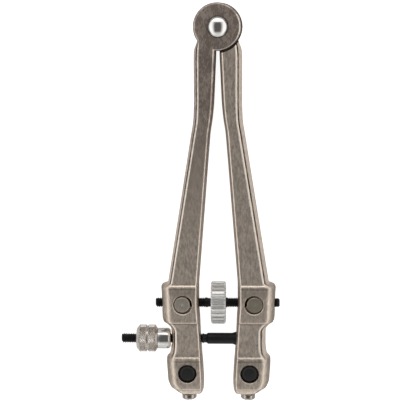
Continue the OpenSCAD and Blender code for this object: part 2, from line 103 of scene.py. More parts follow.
class Bench:
    """The moves that every piece is made with, by hand and in edit mode."""

    @staticmethod
    def clear() -> None:
        """Leave edit mode and deselect everything."""
        if bpy.context.mode != "OBJECT":
            bpy.ops.object.mode_set(mode="OBJECT")
        bpy.ops.object.select_all(action="DESELECT")

    @staticmethod
    def pick(piece: Piece) -> None:
        """Make one piece the only selected and the active one.

        Args:
            piece: The piece.
        """
        Bench.clear()
        piece.select_set(True)
        bpy.context.view_layer.objects.active = piece

    @staticmethod
    def edit(piece: Piece) -> None:
        """Open a piece in edit mode."""
        Bench.pick(piece)
        bpy.ops.object.mode_set(mode="EDIT")

    @staticmethod
    def named(name: str) -> Piece:
        """Name the new primitive and its mesh, and return it.

        Args:
            name: The piece's name.

        Returns:
            The active object.
        """
        piece = bpy.context.view_layer.objects.active
        piece.name = name
        piece.data.name = name
        return piece

    @staticmethod
    def select_all(mode: str) -> None:
        """Select all faces or vertices in edit mode."""
        bpy.ops.mesh.select_mode(type=mode)
        bpy.ops.mesh.select_all(action="SELECT")

    @staticmethod
    def select_where(piece: Piece, mode: str, test: Callable[[Vector], bool]) -> None:
        """Select the faces or vertices whose middle passes a test, in edit mode.

        Args:
            piece: The piece that is open in edit mode.
            mode: VERT or FACE.
            test: Takes the middle in millimetres and tells whether it is selected.
        """
        bpy.ops.mesh.select_mode(type=mode)
        bpy.ops.mesh.select_all(action="DESELECT")
        mesh = bmesh.from_edit_mesh(piece.data)
        for item in mesh.verts if mode == "VERT" else mesh.faces:
            middle = item.co if mode == "VERT" else item.calc_center_median()
            if test((piece.matrix_world @ middle) / MM):
                item.select = True
        mesh.select_flush_mode()
        bmesh.update_edit_mesh(piece.data)

    @staticmethod
    def extrude(way: Vector) -> None:
        """Extrude the selected faces by a way in metres."""
        bpy.ops.mesh.extrude_region_move(TRANSFORM_OT_translate={"value": way})

    @staticmethod
    def narrow(factor: float, centre: Point) -> None:
        """Resize what is selected across X, about a centre in millimetres."""
        bpy.ops.transform.resize(value=(1, factor, factor), center_override=Vector(centre) * MM)

    @staticmethod
    def close_up() -> None:
        """Point all normals outward and leave edit mode."""
        bpy.ops.mesh.select_all(action="SELECT")
        bpy.ops.mesh.normals_make_consistent(inside=False)
        bpy.ops.object.mode_set(mode="OBJECT")

    @staticmethod
    def turned(name: str, axis: Axis, centre: Point, profile: Profile, sides: int = 96) -> Piece:
        """Turn a solid piece: a disc, extruded and resized from step to step of its profile.

        Args:
            name: The piece's name.
            axis: The direction that the profile runs in.
            centre: The zero of the profile, in millimetres.
            profile: Pairs of distance along the axis and radius, in millimetres.
            sides: How many sides the disc has.

        Returns:
            The closed piece, in place.
        """
        way = Vector(axis.value)
        turn = Vector((0, 0, 1)).rotation_difference(way).to_euler()
        middle = Vector(centre)
        at, radius = profile[0]
        Bench.clear()
        bpy.ops.mesh.primitive_circle_add(
            vertices=sides, radius=radius * MM, fill_type="NGON",
            location=(middle + way * at) * MM, rotation=turn)
        piece = Bench.named(name)
        bpy.ops.object.mode_set(mode="EDIT")
        Bench.select_all("FACE")
        for step, width in profile[1:]:
            Bench.extrude(way * (step - at) * MM)
            if abs(width - radius) > 1e-6:
                factor = width / radius
                bpy.ops.transform.resize(
                    value=(factor, factor, factor), center_override=(middle + way * step) * MM)
            at, radius = step, width
        Bench.close_up()
        return piece

    @staticmethod
    def cut(piece: Piece, cutter: Piece, operation: str = "DIFFERENCE") -> None:
        """Cut one piece with another, or join them, and remove the cutter.

        Args:
            piece: The piece that stays.
            cutter: The piece that is used up.
            operation: The Boolean modifier's operation.
        """
        Bench.pick(piece)
        tool = piece.modifiers.new("cut", "BOOLEAN")
        tool.operation = operation
        tool.solver = "EXACT"
        tool.object = cutter
        bpy.ops.object.modifier_apply(modifier=tool.name)
        bpy.data.objects.remove(cutter)

    @staticmethod
    def bore(piece: Piece, axis: Axis, centre: Point, start: float, stop: float, radius: float,
             sides: int = 64) -> None:
        """Bore a straight round hole.

        Args:
            piece: The piece that is bored.
            axis: The hole's direction.
            centre: The zero of start and stop, in millimetres.
            start: Where the hole starts.
            stop: Where it stops.
            radius: Its radius.
            sides: How many sides it has.
        """
        drill = Bench.turned("bore", axis, centre, [(start, radius), (stop, radius)], sides)
        Bench.cut(piece, drill)

    @staticmethod
    def soften(piece: Piece, width: float) -> None:
        """Break the sharp edges of a piece.

        Args:
            piece: The piece.
            width: Width of the break in millimetres.
        """
        Bench.pick(piece)
        tool = piece.modifiers.new("soften", "BEVEL")
        tool.width = width * MM
        tool.segments = 2
        tool.limit_method = "ANGLE"
        tool.angle_limit = math.radians(30)
        tool.use_clamp_overlap = True
        bpy.ops.object.modifier_apply(modifier=tool.name)

    @staticmethod
    def place(piece: Piece) -> None:
        """Move a piece's place into its mesh, so that its object sits at the origin."""
        Bench.pick(piece)
        bpy.ops.object.transform_apply(location=True, rotation=True, scale=True)

    @staticmethod
    def copy(piece: Piece, name: str) -> Piece:
        """Copy a piece with its own mesh.

        Args:
            piece: The piece that is copied.
            name: The copy's name.

        Returns:
            The copy.
        """
        Bench.pick(piece)
        bpy.ops.object.duplicate(linked=False)
        return Bench.named(name)

    @staticmethod
    def turn_over(piece: Piece) -> None:
        """Turn a piece half a turn about the tool's middle line, which runs along Y.

        Args:
            piece: The piece.
        """
        Bench.place(piece)
        Bench.edit(piece)
        bpy.ops.mesh.select_all(action="SELECT")
        bpy.ops.transform.rotate(
            value=math.pi, orient_axis="Y", center_override=(0, 0, MID_Z * MM))
        bpy.ops.object.mode_set(mode="OBJECT")

    @staticmethod
    def lean(piece: Piece) -> None:
        """Lean a piece that was built straight at the right bit to the line of the head.

        Args:
            piece: The piece.
        """
        Bench.place(piece)
        foot = Vector((BIT_X, -BIT_DOWN, 0)) * MM
        turn = Matrix.Rotation(-math.atan(HEAD_LEAN), 4, "Z")
        piece.data.transform(Matrix.Translation(foot) @ turn @ Matrix.Translation(-foot))

    @staticmethod
    def thread(name: str, centre: Point, start: float, stop: float, right_hand: bool,
               chamfer: tuple[float, float] = (0.5, 0.0)) -> Piece:
        """Cut a rod's thread along X: one tooth's outline swept by the Screw modifier and sawn off.

        Args:
            name: The piece's name.
            centre: The zero of start and stop, in millimetres.
            start: Where the thread starts along X.
            stop: Where it stops.
            right_hand: True for a right-hand thread.
            chamfer: Length of the chamfer at the start and at the stop.

        Returns:
            The closed threaded piece.
        """
        root, flank = ROD_R - THREAD_DEPTH, ROD_R - THREAD_EASE
        # Along the pitch, which is 1 here, and from the axis.
        outline = [(0.0, root), (0.30, flank), (0.36, ROD_R), (0.46, ROD_R), (0.52, flank),
                   (0.82, root), (1.0, root)]
        Bench.clear()
        bpy.ops.mesh.primitive_plane_add(size=MM, location=Vector(centre) * MM)
        piece = Bench.named(name)
        bpy.ops.object.mode_set(mode="EDIT")
        Bench.select_all("VERT")
        bpy.ops.mesh.merge(type="CENTER")
        # The sweep starts ahead of the thread and runs on behind it, and both ends are sawn off.
        first = start - THREAD_PITCH * 1.5
        bpy.ops.transform.translate(value=Vector((first, 0, root)) * MM)
        for (a, low), (b, high) in zip(outline, outline[1:]):
            step = Vector(((b - a) * THREAD_PITCH, 0, high - low)) * MM
            bpy.ops.mesh.extrude_vertices_move(TRANSFORM_OT_translate={"value": step})
        bpy.ops.object.mode_set(mode="OBJECT")
        sweep = piece.modifiers.new("sweep", "SCREW")
        sweep.axis = "X"
        sweep.angle = math.tau if right_hand else -math.tau
        sweep.screw_offset = THREAD_PITCH * MM
        sweep.iterations = math.ceil((stop - start) / THREAD_PITCH) + 3
        sweep.steps = sweep.render_steps = THREAD_STEPS
        sweep.use_merge_vertices = True
        sweep.merge_threshold = MERGE
        bpy.ops.object.modifier_apply(modifier=sweep.name)
        Bench.place(piece)
        Bench.edit(piece)
        for at, way, length in ((start, -1.0, chamfer[0]), (stop, 1.0, chamfer[1])):
            Bench.select_all("VERT")
            saw = Vector((centre[0] + at - way * length, centre[1], centre[2])) * MM
            bpy.ops.mesh.bisect(plane_co=saw, plane_no=(way, 0, 0), use_fill=True,
                                clear_outer=True, threshold=ON_CUT)
            if length:
                bpy.ops.mesh.select_mode(type="FACE")
                Bench.extrude(Vector((way * length * MM, 0, 0)))
                Bench.narrow((ROD_R - length) / ROD_R, centre)
        bpy.ops.mesh.select_all(action="SELECT")
        bpy.ops.mesh.remove_doubles(threshold=MERGE)
        Bench.close_up()
        return piece


def arc(at: float, rise: float, radius: float, angles: Iterable[float],
        base: float = 0.0) -> list[tuple[float, float]]:
    """Return a rounding's part of a profile.

    Args:
        at: The rounding's middle along the axis.
        rise: Its size along the axis.
        radius: Its size across.
        angles: Angles in degrees, 90 is along the axis.
        base: The middle's distance from the axis.

    Returns:
        Pairs of distance along the axis and radius.
    """
    turns = [math.radians(a) for a in angles]
    return [(at + rise * math.sin(t), max(base + radius * math.cos(t), ARC_END_R)) for t in turns]


# The finishes


class Effect(Enum):
    """The shared surface effects, each a node group."""

    TUMBLED = "tumbled_grain"
    TURNED = "turned_rings"
    BAND = "edge_band"


class Lathe(Enum):
    """Where the lathe's rings run: their axis across and down the tool in metres, 1 for along X."""

    NONE = (0.0, 0.0, 0.0)
    TRUNNION = (TRUNNION_X * MM, SPINDLE_DOWN * MM, 0.0)
    BIT = (BIT_X * MM, BIT_DOWN * MM, 0.0)
    ROD = (0.0, 0.0, 1.0)


@dataclass(frozen=True)
class Net:
    """A shader tree, with a short call for each kind of node that is used often.

    An input is either a value or another node's output, which is linked.

    Attributes:
        tree: The tree that gets the nodes.
    """

    tree: Tree

    @staticmethod
    def of_material(name: str) -> tuple[bpy.types.Material, "Net"]:
        """Make a node material.

        Args:
            name: The material's name.

        Returns:
            The material and its net.
        """
        made = bpy.data.materials.new(name)
        made.use_nodes = True
        return made, Net(made.node_tree)

    @staticmethod
    def of_group(effect: Effect, **inputs: float) -> tuple["Net", bpy.types.NodeOutputs]:
        """Start a node group with float inputs.

        Args:
            effect: The effect that the group draws.
            inputs: Name and default of each input.

        Returns:
            The group's net, and the inputs as outputs of its first node.
        """
        tree = bpy.data.node_groups.new(effect.value, "ShaderNodeTree")
        for label, default in inputs.items():
            socket = tree.interface.new_socket(
                label, in_out="INPUT", socket_type="NodeSocketFloat")
            socket.default_value = default
        return Net(tree), tree.nodes.new("NodeGroupInput").outputs

    def give(self, **values: Socket) -> Tree:
        """Close a node group.

        Args:
            values: Name and source of each output.

        Returns:
            The group.
        """
        for label in values:
            self.tree.interface.new_socket(
                label, in_out="OUTPUT", socket_type="NodeSocketFloat")
        outlet = self.tree.nodes.new("NodeGroupOutput")
        for label, value in values.items():
            self.tree.links.new(value, outlet.inputs[label])
        return self.tree

    def add(self, kind: str, inputs: dict[str | int, object] | None = None,
            **fields: object) -> bpy.types.Node:
        """Add a node.

        Args:
            kind: The node's type, without ShaderNode in front.
            inputs: The node's inputs.
            fields: Fields of the node itself.

        Returns:
            The node.
        """
        node = self.tree.nodes.new("ShaderNode" + kind)
        for key, value in fields.items():
            setattr(node, key, value)
        for key, value in (inputs or {}).items():
            if isinstance(value, Socket):
                self.tree.links.new(value, node.inputs[key])
            else:
                node.inputs[key].default_value = value
        return node

    def math(self, operation: str, *inputs: object, **fields: object) -> Socket:
        """Calculate with up to three inputs.

        Args:
            operation: The Math node's operation.
            inputs: The inputs in order.
            fields: Other fields of the node.

        Returns:
            The result.
        """
        return self.add("Math", dict(enumerate(inputs)), operation=operation, **fields).outputs[0]

    def ramp(self, value: Socket, start: object, stop: object, low: float = 0.0,
             high: float = 1.0, kind: str = "LINEAR") -> Socket:
        """Go from low to high while a value goes from start to stop.

        Args:
            value: The value that is read.
            start: Where the result is low.
            stop: Where it is high.
            low: The first result.
            high: The last result.
            kind: LINEAR or SMOOTHSTEP.

        Returns:
            The result.
        """
        inputs = {0: value, 1: start, 2: stop, 3: low, 4: high}
        return self.add("MapRange", inputs, interpolation_type=kind).outputs[0]

    def rise(self, value: Socket, start: object, stop: object) -> Socket:
        """Rise smoothly from 0 to 1 while a value goes from start to stop."""
        return self.ramp(value, start, stop, kind="SMOOTHSTEP")

    def mix(self, share: Socket, first: object, second: object) -> Socket:
        """Mix two numbers: a share of 0 gives the first, 1 the second."""
        inputs = {0: share, 2: first, 3: second}
        return self.add("Mix", inputs, data_type="FLOAT").outputs[0]

    def paint(self, share: Socket, first: object, second: Colour, blend: str = "MIX") -> Socket:
        """Lay a colour over another by a share.

        Args:
            share: 0 gives the first, 1 the second in full.
            first: The colour below, a colour or an output.
            second: The colour above.
            blend: The Mix node's blend type.

        Returns:
            The new colour.
        """
        below = first if isinstance(first, Socket) else (*first, 1)
        inputs = {0: share, 6: below, 7: (*second, 1)}
        return self.add("Mix", inputs, data_type="RGBA", blend_type=blend).outputs[2]

    def scaled(self, vector: Socket, factor: Socket) -> Socket:
        """Multiply a vector or a colour by a number."""
        inputs = {0: vector, "Scale": factor}
        return self.add("VectorMath", inputs, operation="SCALE").outputs[0]

    def place(self) -> Socket:
        """Give the place in the object, in metres."""
        return self.add("TexCoord").outputs["Object"]

    def split(self, vector: Socket) -> list[Socket]:
        """Give a vector's X, Y and Z."""
        return list(self.add("SeparateXYZ", {0: vector}).outputs)

    def join(self, *parts: Socket) -> Socket:
        """Make a vector of up to three parts."""
        return self.add("CombineXYZ", dict(enumerate(parts))).outputs[0]

    def length(self, *parts: Socket) -> Socket:
        """Give the length of a vector of up to three parts."""
        inputs = {0: self.join(*parts)}
        return self.add("VectorMath", inputs, operation="LENGTH").outputs["Value"]

    def noise(self, at: Socket, scale: float, detail: float, roughness: float) -> Socket:
        """Give a noise that is read at a vector.

        Args:
            at: The vector.
            scale: The noise's scale.
            detail: Its detail.
            roughness: Its roughness.

        Returns:
            The noise, about 0.5 on average.
        """
        inputs = {"Vector": at, "Scale": scale, "Detail": detail, "Roughness": roughness}
        return self.add("TexNoise", inputs).outputs[0]


def tumbled_group() -> Tree:
    """Grain of a tumbled and plated forging: fine pits drawn out along the tool, and stains.

    Returns:
        A group with the inputs Scale and Stretch, and the outputs Height, Fine, Stain and Patch.
        Height is the sum of a fine and a coarse noise, 0.8 on average.
    """
    net, inlet = Net.of_group(Effect.TUMBLED, Scale=1.0, Stretch=0.3)
    place = net.place()
    x, y, z = net.split(place)
    drawn = net.join(x, net.math("MULTIPLY", y, inlet["Stretch"]), z)
    sized = net.scaled(drawn, inlet["Scale"])
    fine = net.noise(sized, 1700.0, 4.0, 0.65)
    coarse = net.noise(sized, 420.0, 3.0, 0.6)
    stain = net.noise(place, 90.0, 4.0, 0.6)
    patch = net.noise(sized, 230.0, 2.0, 0.5)
    height = net.math("MULTIPLY_ADD", coarse, 0.6, fine)
    return net.give(Height=height, Fine=fine, Stain=stain, Patch=patch)


def rings_group() -> Tree:
    """Rings left by the lathe, round a pair of upright axes or along a rod.

    Returns:
        A group with the inputs Across, Down, Along and Pitch, and the output Height.
    """
    net, inlet = Net.of_group(Effect.TURNED, Across=0.0, Down=0.0, Along=0.0, Pitch=0.0002)
    x, y, _ = net.split(net.place())
    side = net.math("SUBTRACT", net.math("ABSOLUTE", x), inlet["Across"])
    radius = net.length(side, net.math("ADD", y, inlet["Down"]))
    way = net.mix(inlet["Along"], radius, x)
    inputs = {"W": net.math("DIVIDE", way, inlet["Pitch"]), "Scale": 1.0, "Detail": 2.0}
    return net.give(Height=net.add("TexNoise", inputs, noise_dimensions="1D").outputs[0])


def band_group() -> Tree:
    """A soft band between two values, for the rubbed crest with its painted highlight and for the
    painted dark line along an edge.

    Returns:
        A group with the inputs Value, From, To and Soft, and the output Mask.
    """
    net, inlet = Net.of_group(Effect.BAND, Value=0.0, From=0.0, To=1.0, Soft=0.1)
    rises = []
    for edge in ("From", "To"):
        end = net.math("ADD", inlet[edge], inlet["Soft"])
        rises.append(net.rise(inlet["Value"], inlet[edge], end))
    return net.give(Mask=net.math("SUBTRACT", *rises))


@dataclass(frozen=True)
class EdgeWearAndShade:
    """How an arm's edges look, by the marks that its vertices carry: patina, rubbed crests that
    carry a painted highlight, a painted dark line, and painted shade.

    The mark section is the way across a rounding: 0 where it starts, 1 at the side. The mark
    wear tells how rubbed the edge is: it sets the strength of the painted highlight and
    of the painted dark line, and what it leaves of 1 sets the painted shade. The mark patina is 1
    on the arm whose lug is darkened.

    Attributes:
        worn: Ways across between which the crest is rubbed: smoother, and lighter with
            a painted highlight.
        painted_dark_line: Ways across between which lies a painted dark line, in place of the
            dark reflection along the rounding.
        soft: How softly both bands end.
        broken: Two heights of the grain, and the share of the painted dark line that is left there.
        lug: Two places along Y in metres, and how strong the patina is there.
        mottled: Two heights of the grain, and the factor of the patina there.
        flat: Two ways across, and the share of the steps' painted shade that lies there.
        steps: Painted shade in the corners at the head's steps: distance below the hinge, width
            and strength.
        side: Ways across over which the painted shade on the side of an edge that is little
            rubbed sets in.
        polish: What the rubbing takes from the roughness.
        bright: Linear colour of the painted highlight on the rubbed crest.
        dark_line_colour: Linear colour of the painted dark line and of the painted shade at the
            steps.
        patina: Factor of the colour in the patina.
        shade: Factor of the colour in the painted shade on the side of an edge that is little
            rubbed.
    """

    worn: tuple[float, float] = (-0.04, 0.15)
    painted_dark_line: tuple[float, float] = (0.32, 0.52)
    soft: float = 0.07
    broken: tuple[float, ...] = (0.68, 0.86, 0.75, 1.0)
    lug: tuple[float, ...] = (-0.085, -0.025, 0.0, 0.8)
    mottled: tuple[float, ...] = (0.73, 0.87, 0.2, 1.45)
    flat: tuple[float, ...] = (0.1, 0.5, 1.0, 0.0)
    steps: tuple[tuple[float, float, float], ...] = (
        (104.1, 0.6, 0.5), (105.8, 2.6, 0.2), (118.5, 0.35, 0.6),
        (133.9, 0.6, 0.5), (135.5, 2.4, 0.2), (145.9, 0.4, 0.4))
    side: tuple[float, float] = (0.32, 0.9)
    polish: float = -0.12
    bright: Colour = (0.82, 0.76, 0.69)
    dark_line_colour: Colour = (0.05, 0.045, 0.04)
    patina: Colour = (0.48, 0.44, 0.46)
    shade: Colour = (0.36, 0.35, 0.34)

    def draw(self, net: Net, band: Tree, colour: Socket, rough: Socket,
             grit: Socket) -> tuple[Socket, Socket]:
        """Darken the lug with patina, lighten the rubbed crests with a painted highlight, paint
        shade on the sides of the crests that are little rubbed, and paint the dark lines.

        Args:
            net: The material's net.
            band: The group that draws a band.
            colour: The colour so far.
            rough: The roughness so far.
            grit: Height of the grain, which breaks up the painted dark line and the patina.

        Returns:
            The new colour and roughness.
        """
        section, wear, patina = (
            net.add("Attribute", attribute_name=name).outputs["Fac"]
            for name in ("section", "wear", "patina"))
        masks = []
        for start, stop in (self.worn, self.painted_dark_line):
            inputs = {"Value": section, "From": start, "To": stop, "Soft": self.soft}
            masks.append(net.add("Group", inputs, node_tree=band).outputs["Mask"])
        # The rubbed crest: the rubbing lowers the roughness, and its lighter colour is a painted
        # highlight.
        worn = net.math("MULTIPLY", masks[0], wear)
        # A painted dark line along the rounding, in place of the dark reflection there, broken up
        # by the grain.
        painted_dark_line = net.math("MULTIPLY", masks[1], net.ramp(grit, *self.broken))
        painted_dark_line = net.math("MULTIPLY", painted_dark_line, wear)
        down = net.split(net.place())[1]
        flat = net.ramp(section, *self.flat)
        # Painted shade in the corners at the foot of the head's steps, strongest on the flat and
        # fading across the rounding.
        for centre, width, strength in self.steps:
            off = net.math("ABSOLUTE", net.math("ADD", down, centre * MM))
            step_shade = net.math("MULTIPLY", net.ramp(off, 0.0, width * MM, strength, 0.0), flat)
            painted_dark_line = net.math("MAXIMUM", step_shade, painted_dark_line)
        aged = net.math("MULTIPLY", patina, net.ramp(down, *self.lug))
        aged = net.math("MULTIPLY", aged, net.ramp(grit, *self.mottled), use_clamp=True)
        # Painted shade over the side of an edge that is little rubbed, and over the lap's floor.
        shade_share = net.math("SUBTRACT", 1.0, wear)
        shaded = net.math("MULTIPLY", net.ramp(section, *self.side), shade_share)
        colour = net.paint(aged, colour, self.patina, "MULTIPLY")
        colour = net.paint(worn, colour, self.bright)
        colour = net.paint(shaded, colour, self.shade, "MULTIPLY")
        colour = net.paint(painted_dark_line, colour, self.dark_line_colour)
        return colour, net.math("MULTIPLY_ADD", worn, self.polish, rough)


@dataclass(frozen=True)
class MetalFinish:
    """A metal finish with tumbled grain.

    Attributes:
        name: The material's name.
        colour: Linear base colour.
        dark: Linear colour of the stains.
        roughness: Mean roughness.
        spread: How far the roughness varies.
        bump: Height of the grain in metres.
        scale: Size of the grain, larger is finer.
        stretch: How much the grain is drawn out along Y, 1 is not at all.
        metallic: 1 for bare metal.
        stain: How strongly the stains show.
        tint: Linear colour of the discoloured patches.
        patchy: How strongly the patches show.
        fleck: How far the grain varies the colour.
        lathe: Where the lathe's rings run.
        rings: Height of the rings in metres.
        pitch: Distance between the rings in metres.
        edges: The rubbing, patina, painted highlight and painted shade of the arms' edges, if they
        show.
    """

    name: str
    colour: Colour
    dark: Colour
    roughness: float
    spread: float
    bump: float
    scale: float = 1.0
    stretch: float = 0.3
    metallic: float = 1.0
    stain: float = 0.5
    tint: Colour = (0.40, 0.37, 0.30)
    patchy: float = 0.0
    fleck: float = 0.05
    lathe: Lathe = Lathe.NONE
    rings: float = 0.0
    pitch: float = 0.0002
    edges: EdgeWearAndShade | None = None

    def material(self, groups: dict[Effect, Tree]) -> bpy.types.Material:
        """Build the node material. Each noise is read over the middle of its range.

        Args:
            groups: The shared node groups.

        Returns:
            The material.
        """
        made, net = Net.of_material(self.name)
        inputs = {"Scale": self.scale, "Stretch": self.stretch}
        grain = net.add("Group", inputs, node_tree=groups[Effect.TUMBLED]).outputs
        stains = net.ramp(grain["Stain"], 0.35, 0.7, 0.0, self.stain)
        patches = net.ramp(grain["Patch"], 0.45, 0.72, 0.0, self.patchy)
        flecks = net.ramp(grain["Fine"], 0.36, 0.64, 1 - self.fleck, 1 + self.fleck)
        rough = net.ramp(grain["Fine"], 0.3, 0.7,
                         self.roughness - self.spread, self.roughness + self.spread)
        colour = net.paint(patches, net.paint(stains, self.colour, self.dark), self.tint)
        colour = net.scaled(colour, flecks)
        if self.edges:
            colour, rough = self.edges.draw(
                net, groups[Effect.BAND], colour, rough, grain["Height"])
        inputs = {"Height": grain["Height"], "Strength": 1.0, "Distance": self.bump}
        bump = net.add("Bump", inputs).outputs[0]
        if self.lathe is not Lathe.NONE:
            across, down, along = self.lathe.value
            inputs = {"Across": across, "Down": down, "Along": along, "Pitch": self.pitch}
            rings = net.add("Group", inputs, node_tree=groups[Effect.TURNED]).outputs["Height"]
            inputs = {"Height": rings, "Strength": 1.0, "Distance": self.rings, "Normal": bump}
            bump = net.add("Bump", inputs).outputs[0]
        shader = made.node_tree.nodes["Principled BSDF"]
        for label, value in (("Base Color", colour), ("Roughness", rough), ("Normal", bump)):
            made.node_tree.links.new(value, shader.inputs[label])
        shader.inputs["Metallic"].default_value = self.metallic
        return made


SATIN_NICKEL = MetalFinish(
    "satin_nickel", (0.87, 0.75, 0.645), (0.74, 0.63, 0.54), 0.42, 0.06, 0.00005, scale=0.9,
    stretch=0.4, tint=(0.77, 0.70, 0.57), patchy=0.5, fleck=0.17, edges=EdgeWearAndShade())
POLISHED_STEEL = MetalFinish(
    "polished_steel", (0.80, 0.79, 0.77), (0.70, 0.69, 0.68), 0.15, 0.03, 0.000002)
TURNED_STEEL = MetalFinish(
    "turned_steel", (0.60, 0.55, 0.48), (0.50, 0.45, 0.38), 0.46, 0.06, 0.00001, stretch=1.0,
    tint=(0.50, 0.47, 0.36), patchy=0.6, fleck=0.1, lathe=Lathe.TRUNNION, rings=0.00004,
    pitch=0.0004)
DULL_STEEL = replace(
    TURNED_STEEL, name="dull_turned_steel", colour=(0.45, 0.40, 0.33), dark=(0.36, 0.32, 0.25),
    tint=(0.42, 0.38, 0.24))
BRIGHT_NICKEL = MetalFinish(
    "bright_nickel", (0.90, 0.89, 0.875), (0.80, 0.79, 0.77), 0.36, 0.05, 0.000008, stretch=1.0,
    metallic=0.7, fleck=0.08, lathe=Lathe.ROD, rings=0.000006, pitch=0.00012)
KNURLED_STEEL = MetalFinish(
    "knurled_steel", (0.76, 0.71, 0.665), (0.60, 0.555, 0.51), 0.26, 0.05, 0.000008, stretch=1.0,
    fleck=0.1, lathe=Lathe.ROD, rings=0.000004, pitch=0.00012)
BLACKENED = MetalFinish(
    "blackened_steel", (0.022, 0.022, 0.024), (0.014, 0.014, 0.015), 0.42, 0.08, 0.00001,
    stretch=1.0, metallic=0.6)
BLACK_OXIDE = MetalFinish(
    "black_oxide", (0.030, 0.030, 0.031), (0.018, 0.018, 0.018), 0.40, 0.08, 0.00002,
    stretch=1.0, metallic=0.4, lathe=Lathe.BIT, rings=0.000025, pitch=0.0003)
SCREW_NICKEL = MetalFinish(
    "screw_nickel", (0.52, 0.47, 0.43), (0.34, 0.31, 0.28), 0.20, 0.05, 0.00001, stretch=1.0,
    patchy=0.3)
BRASS = MetalFinish(
    "turned_brass", (0.62, 0.46, 0.20), (0.45, 0.33, 0.15), 0.32, 0.06, 0.00001, stretch=1.0,
    lathe=Lathe.ROD, rings=0.000004)
FINISHES = (SATIN_NICKEL, POLISHED_STEEL, TURNED_STEEL, DULL_STEEL, BRIGHT_NICKEL, KNURLED_STEEL,
            BLACKENED, BLACK_OXIDE, SCREW_NICKEL, BRASS)


# The pieces


@dataclass
class SubAssembly:
    """What the sub-assemblies share: dressing a piece and reporting it.

    Attributes:
        finishes: The materials by name.
    """

    finishes: dict[str, bpy.types.Material]

    def dress(self, piece: Piece, finish: MetalFinish, node: str, body: str, slot: str,
              angle: float = 35.0) -> None:
        """Shade a piece, give it its finish, and let it stand for its CAD node.

        Args:
            piece: The finished piece.
            finish: Its finish.
            node: The CAD node that it replaces.
            body: The CAD body that it rides on.
            slot: The name of a material slot; not used.
            angle: Edges sharper than this stay sharp.
        """
        Bench.place(piece)
        bpy.ops.object.shade_smooth_by_angle(angle=math.radians(angle))
        piece.data.materials.clear()
        piece.data.materials.append(self.finishes[finish.name])
        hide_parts(node)
        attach(piece, body)
        LOG.info("%s: %d faces, for %s", piece.name, len(piece.data.polygons), node)

    def keep(self, node: str, finish: MetalFinish) -> None:
        """Keep a CAD node's shape and give it a finish.

        Args:
            node: The CAD node.
            finish: Its finish.
        """
        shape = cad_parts[node]
        shape.data.materials.clear()
        shape.data.materials.append(self.finishes[finish.name])
        LOG.info("%s: kept", node)


# Roundings of the long edges: the way across from the flat to the side, and the drop, both in
# shares of the rounding's width and of the half thickness.
SHANK_EDGE = (
    (0, 0), (0.143, 0.017), (0.286, 0.056), (0.381, 0.092), (0.476, 0.127), (0.548, 0.167),
    (0.667, 0.281), (0.81, 0.479), (0.929, 0.729), (1, 1))
BOSS_EDGE = (
    (0, 0), (0.214, 0.016), (0.381, 0.064), (0.524, 0.134), (0.667, 0.227), (0.786, 0.312),
    (0.845, 0.375), (0.917, 0.518), (0.964, 0.714), (1, 1))
INNER_EDGE = (
    (0, 0), (0.133, 0.01), (0.3, 0.042), (0.4, 0.069), (0.533, 0.104), (0.633, 0.142),
    (0.733, 0.229), (0.833, 0.396), (0.933, 0.667), (1, 1))

# Sections of the shank: distance below the hinge, inner edge, outer edge, outer rounding.
SHANK = (
    (5.4, 0.5, 8.15, 0.8), (7.8, 0.55, 9.05, 1.65), (9.6, 0.6, 9.5, 2.1), (12.5, 0.7, 9.6, 2.1),
    (28.6, 1.43, 9.57, 2.1), (35.6, 2.05, 9.78, 2.1), (42.6, 3.05, 10.8, 2.1),
    (101.9, 7.75, 20.35, 2.1))

# Sections of the head: distance below the hinge, inner edge from the head's middle line, outer
# edge, half thickness, inner rounding, outer rounding, swell.
HEAD = (
    (102.5, -6.55, 21.7, 4.85, 1.6, 3.0, 0.5), (102.9, -6.55, 22.75, 5.15, 1.6, 3.8, 0.8),
    (103.4, -6.55, 23.0, 5.42, 1.6, 4.2, 1), (104.2, -6.55, 23.15, 5.55, 1.6, 4.2, 1),
    (106.3, -6.55, 23.0, 5.6, 1.6, 4.2, 1), (110.5, -6.55, 22.9, 5.6, 1.6, 4.2, 1),
    (116.4, -6.55, 22.7, 5.6, 1.6, 4.2, 1), (117.9, -6.53, 22.25, 5.56, 1.6, 4.2, 0.95),
    (118.1, -6.52, 22.05, 5.45, 1.6, 4.1, 0.9), (118.4, -6.5, 21.7, 4.8, 1.55, 3.6, 0.7),
    (119.6, -6.48, 20.2, 4.75, 1.5, 2.8, 0.3), (121.5, -6.45, 19.15, 4.7, 1.4, 2.6, 0),
    (126.3, -6.45, 19.1, 4.7, 1.4, 2.6, 0), (130.5, -6.45, 19.5, 4.7, 1.4, 2.7, 0),
    (131.9, -6.47, 20.2, 4.75, 1.5, 2.9, 0.3), (132.5, -6.5, 20.8, 5.15, 1.55, 3.6, 0.7),
    (133.1, -6.53, 21.0, 5.42, 1.6, 4.2, 1), (134.5, -6.55, 21.1, 5.5, 1.6, 4.2, 1),
    (137.0, -6.55, 21.0, 5.5, 1.6, 4.2, 1), (139.7, -6.55, 20.8, 5.5, 1.6, 4.2, 1),
    (142.3, -6.5, 20.65, 5.5, 1.6, 4.2, 1), (144.0, -6.38, 20.1, 5.5, 1.6, 4.2, 1),
    (145.2, -6.22, 19.4, 5.45, 1.6, 4.1, 1), (145.7, -6.16, 18.9, 4.95, 1.6, 3.8, 0.8),
    (146.2, -6.08, 18.3, 4.75, 1.6, 3.4, 0.5), (147.1, -5.71, 17.0, 4.5, 1.6, 2.6, 0.3),
    (147.75, -5.07, 15.9, 3.9, 1.6, 2.2, 0), (148.1, -4.15, 14.9, 2.9, 1.6, 1.8, 0))


